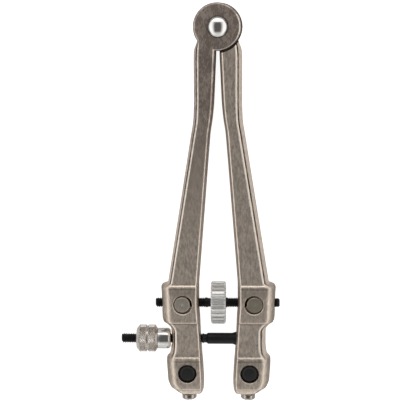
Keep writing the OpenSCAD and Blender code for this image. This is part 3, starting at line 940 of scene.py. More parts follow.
@dataclass
class Station:
    """A section across an arm.

    Attributes:
        down: Distance below the hinge.
        inner: Inner edge, from the middle plane.
        outer: Outer edge.
        half: Half of the thickness.
        round_in: Width of the inner rounding.
        round_out: Width of the outer rounding.
        swell: 0 where the outer edge is shaped as on the shank, 1 where as on a boss.
    """

    down: float
    inner: float
    outer: float
    half: float
    round_in: float
    round_out: float
    swell: float

    def values(self) -> list[float]:
        """Return the section's numbers in order."""
        return [self.down, self.inner, self.outer, self.half, self.round_in, self.round_out,
                self.swell]


@dataclass
class Arms(SubAssembly):
    """The two forged arms: one forging, and the same turned over, each bored for its fittings.

    Attributes:
        lug_d: Diameter of the lugs.
        lug_offset: Distance of a lug's middle from the hinge's axis.
        lug_edge: Rounding of a lug's rim.
        lap_gap: Gap between the lapped lugs.
        relief_gap: Gap round the other arm's lug.
        front_extra: How much wider the shank's front rounding is than its back one.
        shank_round: Width of the shank's inner rounding.
        rim: Width of the flat line beside a rounding.
        step: Distance between the sections that are filled in.
        coarse_step: The same in the long spans.
        long_span: A span from this length on is long, and nearly straight.
        in_lap: Way across that is marked on the lap's floor, beyond the side, so that the floor
            takes the full painted shade.
        on_flat: Way across that is marked on the lug's flat.
        rim_shaded: Way across that the outer rim of a lug reaches, into the painted shade.
        rim_highlight_and_shade: The same on the rubbed rim, below and beside the hinge: below it
            the rim runs into the painted dark line that shades the gap, beside it across the
            painted highlight.
        rim_ends: Where the rubbed rim ends in X and in Y, and the Y below which it is wider.
        rim_wear: How rubbed the rest of the rim still is; the rest shows the painted shade.
        boss_wear: How much less the bosses' outer edges are rubbed, so that they show less painted
            highlight and dark line and more painted shade.
        inner_wear: How rubbed the inner edges are.
        bores: Place of the head's bores, their mouth's height from the middle and its chamfer.
        spindle_hole: Start, stop and radius of the right arm's hole for the spindle.
        lock_hole: The same of the left arm's hole for the lock rod.
        rivet_hole_r: Radius of the rivet's hole.
        tail_seat: How the right arm's hole is spread at the back, for the rivet's tail.
        recess: The left arm's recess for the rivet's head.
        socket_r: Radius of the right arm's socket for the lock rod's root.
        screw_shaft_r: Radius of the hole for a clamp screw.
        screw_head_r: Radius of the seat for its head.
        screw_seat: Distance from the bit to the seat.
        stations: The forging's sections, once they are laid out.
    """

    lug_d: float = 18.796
    lug_offset: float = 0.3
    lug_edge: float = 0.9
    lap_gap: float = 0.5
    relief_gap: float = 0.85
    front_extra: float = 0.95
    shank_round: float = 1.5
    rim: float = 0.35
    step: float = 1.1
    coarse_step: float = 3.0
    long_span: float = 15.0
    in_lap: float = 3.0
    on_flat: float = -0.2
    rim_shaded: float = 0.9
    rim_highlight_and_shade: tuple[float, float] = (0.42, 0.28)
    rim_ends: Point = (2.0, 5.0, -3.0)
    rim_wear: float = 0.1
    boss_wear: float = 0.9
    inner_wear: float = 0.55
    bores: tuple[tuple[float, float, float, float], ...] = (
        (TRUNNION_X, SPINDLE_DOWN, 5.6, 0.25), (BIT_X, BIT_DOWN, 5.5, 0.12))
    spindle_hole: Point = (4.7, 26.0, 2.52)
    lock_hole: Point = (-26.0, -4.0, 2.67)
    rivet_hole_r: float = 2.55
    tail_seat: Profile = ((-1, 4.6), (0, 3.65), (1.2, 2.55))
    recess: Profile = ((8.6, 4.3), (9.4, 4.3), (12, 5.1))
    socket_r: float = 3.125
    screw_shaft_r: float = 1.8
    screw_head_r: float = 3.25
    screw_seat: float = 8.95
    stations: list[Station] = field(default_factory=list)

    @staticmethod
    def axis_x(down: float) -> float:
        """Return the middle line of a head at a distance below the hinge."""
        return TRUNNION_X - max(0.0, down - SPINDLE_DOWN) * HEAD_LEAN

    def lay_out(self) -> None:
        """List the forging's sections from the neck to the end."""
        self.stations = [
            Station(down, inner, outer, MID_Z, self.shank_round, rounding, 0.0)
            for down, inner, outer, rounding in SHANK]
        self.stations += [
            Station(down, self.axis_x(down) + inner, *rest) for down, inner, *rest in HEAD]

    def slope(self, rows: Sequence[Sequence[float]], i: int, c: int) -> float:
        """Return the slope of one number at a section, which is that of a long span beside it.

        Args:
            rows: The sections' numbers.
            i: The section.
            c: The number's place.

        Returns:
            The slope by the distance below the hinge.
        """
        if i in (0, len(rows) - 1):
            return 0.0
        above, below = rows[i][0] - rows[i - 1][0], rows[i + 1][0] - rows[i][0]
        before = (rows[i][c] - rows[i - 1][c]) / above
        after = (rows[i + 1][c] - rows[i][c]) / below
        if above > self.long_span:
            return before
        if below > self.long_span:
            return after
        return 0.0 if before * after <= 0 else 2 * before * after / (before + after)

    def sections(self) -> list[Station]:
        """Fill in sections between the stations on smooth curves.

        Returns:
            The sections from the neck to the end.
        """
        rows = [s.values() for s in self.stations]
        slopes = [[self.slope(rows, i, c) for c in range(len(row))] for i, row in enumerate(rows)]
        made = []
        for i, (row, after) in enumerate(zip(rows, rows[1:])):
            width = after[0] - row[0]
            step = self.step if width < self.long_span else self.coarse_step
            parts = max(2, round(width / step))
            for t in (p / parts for p in range(parts)):
                a, b = 2 * t**3 - 3 * t**2 + 1, (t**3 - 2 * t**2 + t) * width
                c, d = -2 * t**3 + 3 * t**2, (t**3 - t**2) * width
                values = [
                    a * first + b * leave + c * last + d * arrive
                    for first, leave, last, arrive in zip(row, slopes[i], after, slopes[i + 1])]
                made.append(Station(row[0] + width * t, *values[1:]))
        return [*made, self.stations[-1]]

    def outline(self, s: Station) -> list[Vector]:
        """Return the outline of a section: flat faces, and edges that roll over into the sides.

        Args:
            s: The section.

        Returns:
            Points in millimetres, in the row frame, from the middle of the outer side over the
            front and the back.
        """
        outer = [(a + (c - a) * s.swell, b + (d - b) * s.swell)
                 for (a, b), (c, d) in zip(SHANK_EDGE, BOSS_EDGE)]
        front = s.round_out + self.front_extra * (1 - s.swell)
        quarters = ((s.outer, front, 1, 1, outer), (s.inner, s.round_in, -1, 1, INNER_EDGE),
                    (s.inner, s.round_in, -1, -1, INNER_EDGE),
                    (s.outer, s.round_out, 1, -1, outer))
        points = []
        for i, (side, width, way, lift, shape) in enumerate(quarters):
            run = [(side - way * (width + self.rim), s.half * lift)]
            run += [(side - way * width * (1 - x), s.half * lift * (1 - z)) for x, z in shape]
            if i in (0, 2):
                run.reverse()
            points += run[1:] if i == 2 else run[:-1] if i == 3 else run
        return [Vector((x, -s.down, MID_Z + z)) for x, z in points]

    def on_lug(self, point: Vector) -> tuple[float, float] | None:
        """Mark a point of the lap's floor or of the lug.

        Args:
            point: A point of the right arm, in millimetres.

        Returns:
            The way across and how rubbed the edge is; or None elsewhere.
        """
        near = 0.02
        radius = self.lug_d / 2
        floor = abs(point.z - MID_Z + self.lap_gap / 2) < near
        from_other_lug = math.hypot(point.x + self.lug_offset, point.y)
        # The lap's floor round the other arm's lug gets the full painted shade.
        if floor and from_other_lug < radius + self.relief_gap + 5 * near:
            return self.in_lap, 0.0
        from_lug = math.hypot(point.x - self.lug_offset, point.y)
        if point.z >= MID_Z or from_lug >= radius + 2.5 * near:
            return None
        drop = min(point.z / self.lug_edge, 1.0)
        if drop < near / 2 or from_lug < radius - self.lug_edge:
            return self.on_flat, 1.0
        way = math.sqrt(1 - (1 - drop) ** 2)
        # The rubbed rim: below the hinge it runs into the painted dark line that shades the gap
        # under the lug, beside it across the painted highlight.
        below, beside = self.rim_highlight_and_shade
        right, top, low = self.rim_ends
        if point.x < right and point.y < top:
            return (below if point.y < low else beside) * way, 1.0
        # The rest of the rim is little rubbed, and gets the painted shade.
        return self.rim_shaded * way, self.rim_wear

    def across(self, rows: Sequence[Station], point: Vector) -> tuple[float, float]:
        """Tell how far a point lies across the rounding of a long edge, and how rubbed the edge is.

        Args:
            rows: The sections.
            point: A point of the right arm, in millimetres.

        Returns:
            The way across, below 0 on the flat, 0 where the rounding starts and 1 at the side;
            and how rubbed the edge is, which sets its painted highlight, dark line and shade, from
            0 to 1.
        """
        marks = self.on_lug(point)
        if marks:
            return marks
        i = bisect.bisect(rows, -point.y, key=lambda s: s.down)
        i = min(max(i, 1), len(rows) - 1)
        before, after = rows[i - 1], rows[i]
        t = min(max((-point.y - before.down) / (after.down - before.down), 0.0), 1.0)
        s = Station(*(a + (b - a) * t for a, b in zip(before.values(), after.values())))
        width = s.round_out
        if point.z > MID_Z:
            width += self.front_extra * (1 - s.swell)
        outer = (point.x - s.outer) / width + 1, 1 - self.boss_wear * s.swell
        inner = (s.inner - point.x) / s.round_in + 1, self.inner_wear
        return max(outer, inner)

    def mark_edges(self, arm: Piece, turned_over: bool) -> None:
        """Store the marks that the finish reads its rubbed crests, painted highlight, painted dark
        lines and painted shade from.

        Args:
            arm: The arm.
            turned_over: True for the left arm.
        """
        rows = self.sections()
        marks = []
        for vertex in arm.data.vertices:
            x, y, z = vertex.co / MM
            point = Vector((-x, y, 2 * MID_Z - z)) if turned_over else Vector((x, y, z))
            marks.append((*self.across(rows, point), float(turned_over)))
        for name, values in zip(("section", "wear", "patina"), zip(*marks)):
            arm.data.attributes.new(name, "FLOAT", "POINT").data.foreach_set("value", values)

    def forging(self) -> Piece:
        """Draw the bar out section by section: its outline is extruded, and set to each section.

        Returns:
            The solid bar of the right arm, from the neck to the end.
        """
        rings = [self.outline(s) for s in self.sections()]
        Bench.clear()
        bpy.ops.mesh.primitive_circle_add(
            vertices=len(rings[0]), radius=5 * MM, fill_type="NGON", rotation=(math.pi / 2, 0, 0))
        bar = Bench.named("right_arm_forging")
        Bench.place(bar)
        Bench.edit(bar)
        Bench.select_all("FACE")
        self.set_ring(bar, rings[0])
        for before, after in zip(rings, rings[1:]):
            Bench.extrude((after[0] - before[0]) * MM)
            self.set_ring(bar, after)
        Bench.close_up()
        return bar

    @staticmethod
    def set_ring(bar: Piece, ring: Sequence[Vector]) -> None:
        """Set the corners of the selected end face to a section's outline.

        Args:
            bar: The bar that is open in edit mode.
            ring: The outline.
        """
        mesh = bmesh.from_edit_mesh(bar.data)
        face = next(f for f in mesh.faces if f.select)
        first = min(v.index for v in face.verts)
        loop = next(x for x in face.loops if x.vert.index == first)
        for point in ring:
            loop.vert.co = point * MM
            loop = loop.link_loop_next
        bmesh.update_edit_mesh(bar.data)

    def common(self) -> Piece:
        """Make what both arms share: bar, relief, lug, bores, spindle hole and screw seat.

        Returns:
            The right arm without its own fittings' holes.
        """
        arm = self.forging()
        radius, edge, top = self.lug_d / 2, self.lug_edge, MID_Z - self.lap_gap / 2
        Bench.bore(arm, Axis.UP, (-self.lug_offset, 0, MID_Z), -self.lap_gap / 2, 9,
                   radius + self.relief_gap, 96)
        rim = arc(edge, edge, edge, range(-90, 1, 15), radius - edge)
        lug = Bench.turned("lug", Axis.UP, (self.lug_offset, 0, 0), [
            *rim, (top - 0.2, radius), (top, radius - 0.2)], 128)
        Bench.cut(arm, lug, "UNION")
        for x, down, face, mouth in self.bores:
            wide = HEAD_BORE_R + mouth + 1
            Bench.cut(arm, Bench.turned("bore", Axis.UP, (x, -down, MID_Z), [
                (-face - 1, wide), (-face + mouth, HEAD_BORE_R), (face - mouth, HEAD_BORE_R),
                (face + 1, wide)]))
        Bench.bore(arm, Axis.ACROSS, (0, -SPINDLE_DOWN, MID_Z), *self.spindle_hole)
        seat = self.screw_seat
        cutter = Bench.turned("screw_seat", Axis.DOWN_TOOL, (BIT_X, -BIT_DOWN, MID_Z), [
            (0, self.screw_shaft_r), (seat, self.screw_shaft_r), (seat, self.screw_head_r),
            (seat + 4, self.screw_head_r)], 64)
        Bench.lean(cutter)
        Bench.cut(arm, cutter)
        return arm

    def build(self) -> None:
        """Build both arms and dress them."""
        self.lay_out()
        right = self.common()
        left = Bench.copy(right, "left_arm_forging")
        Bench.turn_over(left)
        hinge, lock = (0, 0, 0), (0, -LOCK_DOWN, MID_Z)
        rivet_r, socket_r = self.rivet_hole_r, self.socket_r
        lock_x = self.axis_x(LOCK_DOWN)
        Bench.cut(right, Bench.turned("rivet_hole", Axis.UP, hinge, [
            *self.tail_seat, (12, rivet_r)]))
        Bench.cut(right, Bench.turned("socket", Axis.ACROSS, lock, [
            (lock_x - 9, socket_r), *arc(lock_x, socket_r, socket_r, range(0, 90, 15)),
            (lock_x + socket_r, 0.05)], 64))
        Bench.bore(right, Axis.UP, (lock_x, -LOCK_DOWN, 0), -1, MID_Z + 3.7, PIN_HOLE_R, 48)
        Bench.bore(left, Axis.UP, hinge, -1, 12, rivet_r, 96)
        Bench.cut(left, Bench.turned("recess", Axis.UP, hinge, self.recess))
        Bench.bore(left, Axis.ACROSS, lock, *self.lock_hole)
        for side, arm in (("right", right), ("left", left)):
            Bench.place(arm)
            self.mark_edges(arm, side == "left")
            self.dress(arm, SATIN_NICKEL, f"{side}_arm", f"{side}_arm", "arm_nickel", 32)


@dataclass
class Hinge(SubAssembly):
    """The rivet and the washer between the lugs.

    Attributes:
        seat: Height of the recess' floor, where the head starts.
        rim: Straight part of the head.
        head: The head's radius.
        rise: The dome's height.
        shank: The rivet's radius.
        steps: How many steps the dome has.
    """

    seat: float = 8.65
    rim: float = 1.0
    head: float = 3.88
    rise: float = 1.599
    shank: float = 2.5
    steps: int = 14

    def build(self) -> None:
        """Turn the rivet with its domed head and spread tail, and keep the washer."""
        ball = (self.head**2 + self.rise**2) / (2 * self.rise)
        sweep = math.degrees(math.asin(self.head / ball))
        angles = [90 - sweep * (1 - i / self.steps) for i in range(self.steps + 1)]
        dome = arc(self.seat + self.rim + self.rise - ball, ball, ball, angles)
        rivet = Bench.turned("hinge_rivet_dome", Axis.UP, (0, 0, 0), [
            (0.1, 2.6), (0.1, 3.3), (1.2, self.shank), (self.seat, self.shank),
            (self.seat, self.head), *dome], 128)
        self.dress(rivet, POLISHED_STEEL, "hinge_rivet", "right_arm", "polished_steel")
        self.keep("lug_washer", BRASS)


@dataclass
class Spindle(SubAssembly):
    """The spindle with its two threads and thumb wheel, and the trunnions that it turns in.

    Attributes:
        centre: The spindle's line at the middle plane.
        wheel_r: The wheel's radius.
        wheel_w: The wheel's width.
        ribs: How many ribs it has.
        groove: Depth between the ribs.
        parts: Places of a groove's points, in shares of a rib, and their shares of the depth.
        ends: Where the spindle ends at the left and at the right.
        pin_r: A trunnion's radius.
        pin_half: Half of its length.
        pin_out: How far it is set outward from the bore's middle.
        pin_edge: The chamfer of its ends, along and across.
        pin_mark: Radius and depth of the mark that the lathe left in its ends.
    """

    centre: Point = (0.0, -SPINDLE_DOWN, MID_Z)
    wheel_r: float = 8.5999
    wheel_w: float = 5.9
    ribs: int = 28
    groove: float = 0.7
    parts: Profile = ((0.375, 1.0), (0.5, 1.0), (0.25, 0.55), (0.625, 0.55))
    ends: tuple[float, float] = (-25.4, 24.7)
    pin_r: float = 3.15
    pin_half: float = 5.3
    pin_out: float = 0.3
    pin_edge: tuple[float, float] = (0.25, 0.3)
    pin_mark: float = 0.35

    def trunnions(self) -> None:
        """Turn a trunnion, bore it across, and set one in each arm."""
        half, radius, mark = self.pin_half, self.pin_r, self.pin_mark
        long, deep = self.pin_edge
        middle = (TRUNNION_X + self.pin_out, -SPINDLE_DOWN, MID_Z)
        pin = Bench.turned("right_trunnion_pin", Axis.UP, middle, [
            (-half + mark, POINT_R), (-half, mark), (-half, radius - deep), (-half + long, radius),
            (half - long, radius), (half, radius - deep), (half, mark), (half - mark, POINT_R)])
        Bench.bore(pin, Axis.ACROSS, (TRUNNION_X, -SPINDLE_DOWN, MID_Z), -6, 6, RUN_R)
        Bench.soften(pin, 0.06)
        other = Bench.copy(pin, "left_trunnion_pin")
        Bench.turn_over(other)
        self.dress(pin, DULL_STEEL, "right_trunnion", "right_trunnion", "trunnion_steel")
        self.dress(other, TURNED_STEEL, "left_trunnion", "left_trunnion", "trunnion_steel")

    def rod(self) -> None:
        """Cut the opposite-hand threads and join them by the turned collar under the wheel."""
        face = self.wheel_w / 2
        start, stop = self.ends
        rod = Bench.thread("spindle_rod", self.centre, start, -face - 2.2, True)
        right = Bench.thread(
            "spindle_right_thread", self.centre, face + 0.6, stop, False, (0.0, 0.5))
        middle = Bench.turned("spindle_collar", Axis.ACROSS, self.centre, [
            (-face - 2.3, ROD_R), (-face - 1.5, ROD_R), (-face - 1.3, NECK_R),
            (-face + 0.2, NECK_R), (-face + 0.4, ROD_R), (face + 0.7, ROD_R)], 72)
        Bench.cut(rod, middle, "UNION")
        Bench.cut(rod, right, "UNION")
        self.dress(rod, BLACKENED, "spindle", "spindle", "blackened_rod", 40)

    def wheel(self) -> None:
        """Turn the thumb wheel and press its ribs into the rim."""
        radius, half, edge, face = self.wheel_r, self.wheel_w / 2, 0.6, 1.6
        wheel = Bench.turned("ribbed_thumb_wheel", Axis.ACROSS, self.centre, [
            (-half, radius - face), (-half, radius - edge), (-half + edge, radius),
            (half - edge, radius), (half, radius - edge), (half, radius - face)], self.ribs * 8)
        Bench.edit(wheel)
        for share, depth in self.parts:
            def grooved(p: Vector, share: float = share) -> bool:
                """Tell whether a point of the rim lies in this part of a groove.

                Args:
                    p: The point in millimetres.
                    share: The part's place in a rib.

                Returns:
                    True where it does.
                """
                y, z = p.y + SPINDLE_DOWN, p.z - MID_Z
                angle = math.atan2(y, -z) / math.tau * self.ribs
                off = (angle - share + 0.5) % 1.0 - 0.5
                return math.hypot(y, z) > radius - edge / 2 and abs(off) < 0.05
            Bench.select_where(wheel, "VERT", grooved)
            Bench.narrow(1 - self.groove * depth / radius, self.centre)
        bpy.ops.object.mode_set(mode="OBJECT")
        Bench.bore(wheel, Axis.ACROSS, self.centre, -5, 5, RUN_R)
        self.dress(wheel, BRIGHT_NICKEL, "thumb_wheel", "thumb_wheel", "bright_steel", 28)

    def build(self) -> None:
        """Build the trunnions, the rod and the wheel."""
        self.trunnions()
        self.rod()
        self.wheel()


@dataclass
class Lock(SubAssembly):
    """The lock rod with its pin, thrust sleeve and knurled nut.

    Attributes:
        centre: The lock rod's line at the middle plane.
        thread: Where the rod's thread starts and stops.
        pin_x: The pin's distance from the middle plane.
        root_r: Radius of the rod's root, which swings on the pin.
        plain_r: Radius of the rod's plain part.
        left: The nut's left face.
        right: The nut's right face.
        sides: How many columns the knurl has.
        rows: How many rows a band of the knurl has.
        band: Where the first band starts behind the left face, and its width.
        next_band: Distance from band to band.
        knurl_r: Radius over the knurl.
        knurl_depth: Depth of the knurl.
        sleeve_profile: The sleeve, from its tail in the nut to its nose at the left arm.
    """

    centre: Point = (0.0, -LOCK_DOWN, MID_Z)
    thread: tuple[float, float] = (-39.3995, -6.3)
    pin_x: float = 13.4097
    root_r: float = 2.7
    plain_r: float = 2.25
    left: float = -33.26
    right: float = -24.66
    sides: int = 72
    rows: int = 6
    band: tuple[float, float] = (1.5, 2.3)
    next_band: float = 3.55
    knurl_r: float = 5.58
    knurl_depth: float = 0.36
    sleeve_profile: Profile = (
        (-27.61, 3.05), (-24.61, 3.05), (-24.61, 4.2), (-20.26, 4.2), (-19.51, 3.45))

    def rod(self) -> None:
        """Cut the rod's thread and turn its neck, plain part and rounded root."""
        flare = self.pin_x - 6.55
        rod = Bench.thread("lock_rod_thread", self.centre, *self.thread, True)
        plain = Bench.turned("lock_rod_plain", Axis.ACROSS, self.centre, [
            (-6.4, ROD_R), (-6.15, ROD_R), (-5.75, NECK_R), (-4.85, NECK_R),
            (-4.35, self.plain_r), (flare - 1.2, self.plain_r), (flare, self.root_r),
            *arc(self.pin_x, self.root_r, self.root_r, range(0, 90, 12)),
            (self.pin_x + self.root_r, POINT_R)], 72)
        Bench.cut(rod, plain, "UNION")
        Bench.bore(rod, Axis.UP, (self.pin_x, -LOCK_DOWN, MID_Z), -4, 4, PIN_HOLE_R, 48)
        self.dress(rod, BLACKENED, "lock_rod", "lock_rod", "blackened_rod", 40)
        self.keep("lock_rod_pin", TURNED_STEEL)

    def sleeve(self) -> None:
        """Turn the thrust sleeve with its chamfered nose."""
        sleeve = Bench.turned("thrust_sleeve", Axis.ACROSS, self.centre, self.sleeve_profile)
        Bench.bore(sleeve, Axis.ACROSS, self.centre, -29, -18, RUN_R)
        Bench.soften(sleeve, 0.12)
        self.dress(sleeve, POLISHED_STEEL, "lock_sleeve", "lock_sleeve", "polished_steel")

    def nut(self) -> None:
        """Turn the nut with its two bands, and press a diamond knurl into them.

        Every other point of a band's rim is pressed in, and each face between the points is
        poked, so that the rim gets a pyramid for each diamond.
        """
        left, right, rows, knurl_r = self.left, self.right, self.rows, self.knurl_r
        start, width = self.band
        first = [left + start + width * i / (rows - 1) for i in range(rows)]
        rings = [*first, *(x + self.next_band for x in first)]
        # Chamfered left end, first band, groove, second band, chamfered right end.
        nut = Bench.turned("knurled_nut", Axis.ACROSS, self.centre, [
            (left, 3.5), (left, 3.95), (left + 0.1, 4.1), (left + 1.25, 5.5), (left + 1.4, 5.6),
            *((x, knurl_r) for x in rings[:rows]),
            (left + 3.95, 5.5), (left + 4.3, 5.0), (left + 4.55, 5.0), (left + 4.9, 5.5),
            *((x, knurl_r) for x in rings[rows:]),
            (right - 1.15, 5.6), (right - 1.0, 5.45), (right - 0.1, 4.1), (right, 3.9)], self.sides)
        Bench.edit(nut)

        def pressed(p: Vector) -> bool:
            """Tell whether a point of the rim lies at the foot of a diamond.

            Args:
                p: The point in millimetres.

            Returns:
                True where it does.
            """
            y, z = p.y + LOCK_DOWN, p.z - MID_Z
            row = min(range(len(rings)), key=lambda i: abs(rings[i] - p.x))
            column = round(math.atan2(y, z) / math.tau * self.sides)
            on_band = abs(rings[row] - p.x) < 0.01 and math.hypot(y, z) > 5.5
            return on_band and (row + column) % 2 == 1

        Bench.select_where(nut, "VERT", pressed)
        Bench.narrow(1 - self.knurl_depth / knurl_r, self.centre)
        Bench.select_where(nut, "FACE", lambda p: (
            rings[0] < p.x < rings[rows - 1] or rings[rows] < p.x < rings[-1]))
        bpy.ops.mesh.poke(center_mode="MEDIAN_WEIGHTED")
        bpy.ops.object.mode_set(mode="OBJECT")
        floor = right - 3.05
        Bench.cut(nut, Bench.turned("nut_bore", Axis.ACROSS, self.centre, [
            (left - 1, RUN_R), (floor, RUN_R), (floor, 3.1), (right + 1, 3.1)], 64))
        self.dress(nut, KNURLED_STEEL, "lock_nut", "lock_nut", "bright_steel", 28)

    def build(self) -> None:
        """Build the rod, the sleeve and the nut."""
        self.rod()
        self.sleeve()
        self.nut()


@dataclass
class Bits(SubAssembly):
    """The pin bits and their clamp screws.

    Attributes:
        top: Height of a bit's flat end.
        tip: Height of its tip.
        tip_r: Radius of the tip.
        body_r: Radius of its body.
        taper: Heights between which the tip goes over into the body.
        neck: Distances from the flat end between which the body is turned down.
        neck_depth: How far it is turned down.
        end_r: Radius of the flat end.
        seat: The screw's seat, as all its sizes from the bit's middle.
        head_r: Radius of the screw's head.
        head_rim: Straight part of the head.
        rise: The dome's height.
        shaft_r: Radius of the screw's shaft.
        slot: Width, depth and length of the cutter for its slot.
        slot_out: Distance of the cutter's middle from the seat.
    """

    top: float = 10.1
    tip: float = -6.2
    tip_r: float = 1.25
    body_r: float = 3.7
    taper: tuple[float, float] = (-2.9, -1.5)
    neck: tuple[float, float] = (3.0, 0.95)
    neck_depth: float = 0.25
    end_r: float = 2.5
    seat: float = 9.4
    head_r: float = 2.95
    head_rim: float = 1.545
    rise: float = 1.13
    shaft_r: float = 1.75
    slot: Point = (0.8, 1.0, 8.0)
    slot_out: float = 2.6

    def bits(self) -> None:
        """Turn a bit, and set one in the end of each arm."""
        top, neck_r = self.top, self.body_r - self.neck_depth
        low, high = self.neck
        for side, sign in (("right", 1), ("left", -1)):
            bit = Bench.turned(f"{side}_pin_bit", Axis.UP, (sign * BIT_X, -BIT_DOWN, 0), [
                (self.tip, self.tip_r - 0.2), (self.tip + 0.2, self.tip_r),
                (self.taper[0], self.tip_r), (self.taper[1], self.body_r),
                (top - low, self.body_r), (top - low + 0.1, neck_r), (top - high, neck_r),
                (top, self.end_r)])
            Bench.soften(bit, 0.1)
            self.dress(bit, BLACK_OXIDE, f"{side}_bit", f"{side}_arm", "black_oxide")

    def screws(self) -> None:
        """Turn a clamp screw, mill its slot, and set one in each arm's end."""
        seat, shaft = self.seat, self.shaft_r
        dome = arc(seat + self.head_rim, self.rise, self.head_r, range(0, 91, 9))
        screw = Bench.turned("right_clamp_screw", Axis.DOWN_TOOL, (BIT_X, -BIT_DOWN, MID_Z), [
            (3.85, shaft - 0.4), (4.25, shaft), (seat, shaft), (seat, self.head_r - 0.3),
            (seat + 0.25, self.head_r), *dome], 96)
        Bench.clear()
        bpy.ops.mesh.primitive_cube_add(
            size=MM, scale=self.slot,
            location=Vector((BIT_X, -BIT_DOWN - seat - self.slot_out, MID_Z)) * MM)
        Bench.cut(screw, Bench.named("slot"))
        Bench.soften(screw, 0.08)
        Bench.lean(screw)
        other = Bench.copy(screw, "left_clamp_screw")
        Bench.turn_over(other)
        self.dress(screw, SCREW_NICKEL, "right_bit_screw", "right_arm", "screw_nickel")
        self.dress(other, SCREW_NICKEL, "left_bit_screw", "left_arm", "screw_nickel")

    def build(self) -> None:
        """Build the bits and the screws."""
        self.bits()
        self.screws()


# The studio


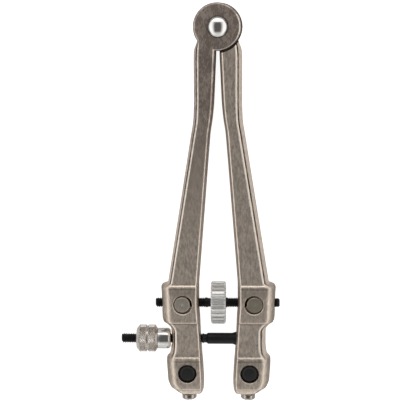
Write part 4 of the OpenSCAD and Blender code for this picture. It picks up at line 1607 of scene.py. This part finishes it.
@dataclass
class Studio:
    """The camera at the photograph's angle, the floor, and a light tent over the tool.

    The tent is read by the way from its middle: X across, Y towards the hinge, Z up.

    Attributes:
        azimuth: The camera's turn about the tool, in degrees.
        elevation: Its turn above the tool's face.
        roll: Its roll.
        distance: Its distance in millimetres.
        lens: Its lens.
        sensor: Width of its sensor.
        clip: The nearest and the farthest that it sees, in metres.
        target: The point that it looks at.
        tilt: How far the floor is tilted to the tool.
        floor_down: The floor's middle below the hinge.
        tip_z: Height of the bits' tips, which the floor touches.
        floor_r: The floor's radius in metres.
        floor_grey: The floor's colour.
        camera_glow: The floor's own light in the picture.
        mirror_glow: The same in reflections.
        tent_r: The tent's radius in metres.
        tent_at: Its middle in metres.
        tent_white: Linear colour of its light.
        ceiling: Light of the tent overhead.
        sides: Light of both its sides.
        side_at: Where the sides start and are full, and the same by height.
        squash: How much the sides' inner outline is drawn out along the tool.
        foot: Light beyond the bits.
        foot_at: Where it starts and is full.
        strip: Light beyond the hinge, low and higher up.
        strip_at: Where it starts and is full, and where it gets brighter by height.
    """

    azimuth: float = 2.0
    elevation: float = 8.04
    roll: float = -0.255
    distance: float = 500.0
    lens: float = 111.36
    sensor: float = 36.0
    clip: tuple[float, float] = (0.01, 20.0)
    target: Point = (-7.48, -69.34, 0.0)
    tilt: float = 2.4
    floor_down: float = 65.0
    tip_z: float = -6.2
    floor_r: float = 1.6
    floor_grey: float = 0.75
    camera_glow: float = 0.9
    mirror_glow: float = 0.15
    tent_r: float = 0.45
    tent_at: Point = (0.0, -0.06, 0.0)
    tent_white: Colour = (1.0, 0.99, 0.975)
    ceiling: float = 0.11
    sides: float = 1.3
    side_at: Profile = ((0.4, 0.8), (0.2, 0.32))
    squash: float = 0.55
    foot: float = 0.7
    foot_at: tuple[float, float] = (-0.5, -0.8)
    strip: tuple[float, float] = (0.35, 1.85)
    strip_at: Profile = ((0.63, 0.82), (0.22, 0.34))

    def camera(self) -> None:
        """Set the camera."""
        a, b, r = (math.radians(v) for v in (self.azimuth, self.elevation, self.roll))
        back = Vector((math.sin(a) * math.cos(b), math.sin(b), math.cos(a) * math.cos(b)))
        side = (-back).cross(Vector((0, 1, 0))).normalized()
        up = side.cross(-back)
        side, up = side * math.cos(r) + up * math.sin(r), up * math.cos(r) - side * math.sin(r)
        Bench.clear()
        bpy.ops.object.camera_add()
        camera = bpy.context.view_layer.objects.active
        camera.name = "camera"
        place = Matrix.Translation((Vector(self.target) + back * self.distance) * MM)
        camera.matrix_world = place @ Matrix((side, up, back)).transposed().to_4x4()
        camera.data.lens = self.lens
        camera.data.sensor_width = self.sensor
        camera.data.clip_start, camera.data.clip_end = self.clip
        bpy.context.scene.camera = camera

    def floor(self) -> None:
        """Lay the pale floor under the two tips and the hinge."""
        Bench.clear()
        tilt = math.radians(self.tilt)
        height = self.tip_z + (BIT_DOWN - self.floor_down) * math.tan(tilt)
        bpy.ops.mesh.primitive_circle_add(
            vertices=96, radius=self.floor_r, fill_type="NGON",
            location=Vector((0, -self.floor_down, height)) * MM, rotation=(tilt, 0, 0))
        floor = Bench.named("floor")
        made, net = Net.of_material("pale_floor")
        rays = net.add("LightPath").outputs
        seen = net.math("MAXIMUM", rays["Is Glossy Ray"], rays["Is Transmission Ray"])
        faint = net.math("MULTIPLY", seen, self.mirror_glow)
        glow = net.math("MULTIPLY_ADD", rays["Is Camera Ray"], self.camera_glow, faint)
        shader = made.node_tree.nodes["Principled BSDF"]
        made.node_tree.links.new(glow, shader.inputs["Emission Strength"])
        for label, value in (
                ("Base Color", (*[self.floor_grey] * 3, 1)), ("Emission Color", (1, 1, 1, 1)),
                ("Roughness", 0.8), ("Specular IOR Level", 0.2)):
            shader.inputs[label].default_value = value
        floor.data.materials.append(made)

    def tent(self) -> None:
        """Put up the tent: dim overhead, with lit sides, a lit foot, and a strip at the hinge."""
        Bench.clear()
        bpy.ops.mesh.primitive_uv_sphere_add(
            segments=96, ring_count=48, radius=self.tent_r, location=self.tent_at)
        tent = Bench.named("light_tent")
        bpy.ops.object.mode_set(mode="EDIT")
        Bench.select_where(tent, "FACE", lambda p: p.z < 0)
        bpy.ops.mesh.delete(type="FACE")
        bpy.ops.object.mode_set(mode="OBJECT")
        made, net = Net.of_material("tent_cloth")
        made.node_tree.nodes.remove(made.node_tree.nodes["Principled BSDF"])
        way = net.add("VectorMath", {0: net.place()}, operation="NORMALIZE").outputs[0]
        x, y, z = net.split(way)
        oval = net.length(x, net.math("MULTIPLY", y, self.squash))
        outward, upward = self.side_at
        side = net.math("MULTIPLY", net.rise(oval, *outward), net.rise(z, *upward))
        hingeward, upward = self.strip_at
        strip = net.mix(net.rise(z, *upward), *self.strip)
        glow = net.mix(net.rise(y, *self.foot_at), self.ceiling, self.foot)
        glow = net.mix(side, glow, self.sides)
        glow = net.mix(net.rise(y, *hingeward), glow, strip)
        cloth = net.add("Emission", {"Color": (*self.tent_white, 1), "Strength": glow})
        outlet = made.node_tree.nodes["Material Output"].inputs[0]
        made.node_tree.links.new(cloth.outputs[0], outlet)
        tent.data.materials.append(made)
        tent.visible_camera = False

    def world(self) -> None:
        """Make the backdrop white and set the plain view transform."""
        scene = bpy.context.scene
        scene.world = scene.world or bpy.data.worlds.new("world")
        scene.world.use_nodes = True
        backdrop = scene.world.node_tree.nodes["Background"].inputs
        backdrop["Color"].default_value = (1, 1, 1, 1)
        backdrop["Strength"].default_value = 1.0
        scene.view_settings.view_transform = "Standard"

    def build(self) -> None:
        """Set up the studio."""
        self.camera()
        self.floor()
        self.tent()
        self.world()


def main() -> None:
    """Build the finishes, the sub-assemblies and the studio."""
    logging.basicConfig(level=logging.INFO, format="%(name)s %(message)s")
    groups = {Effect.TUMBLED: tumbled_group(), Effect.TURNED: rings_group(),
              Effect.BAND: band_group()}
    finishes = {finish.name: finish.material(groups) for finish in FINISHES}
    for kind in (Arms, Hinge, Spindle, Lock, Bits):
        kind(finishes).build()
    Studio().build()


if __name__ == "__main__":
    main()
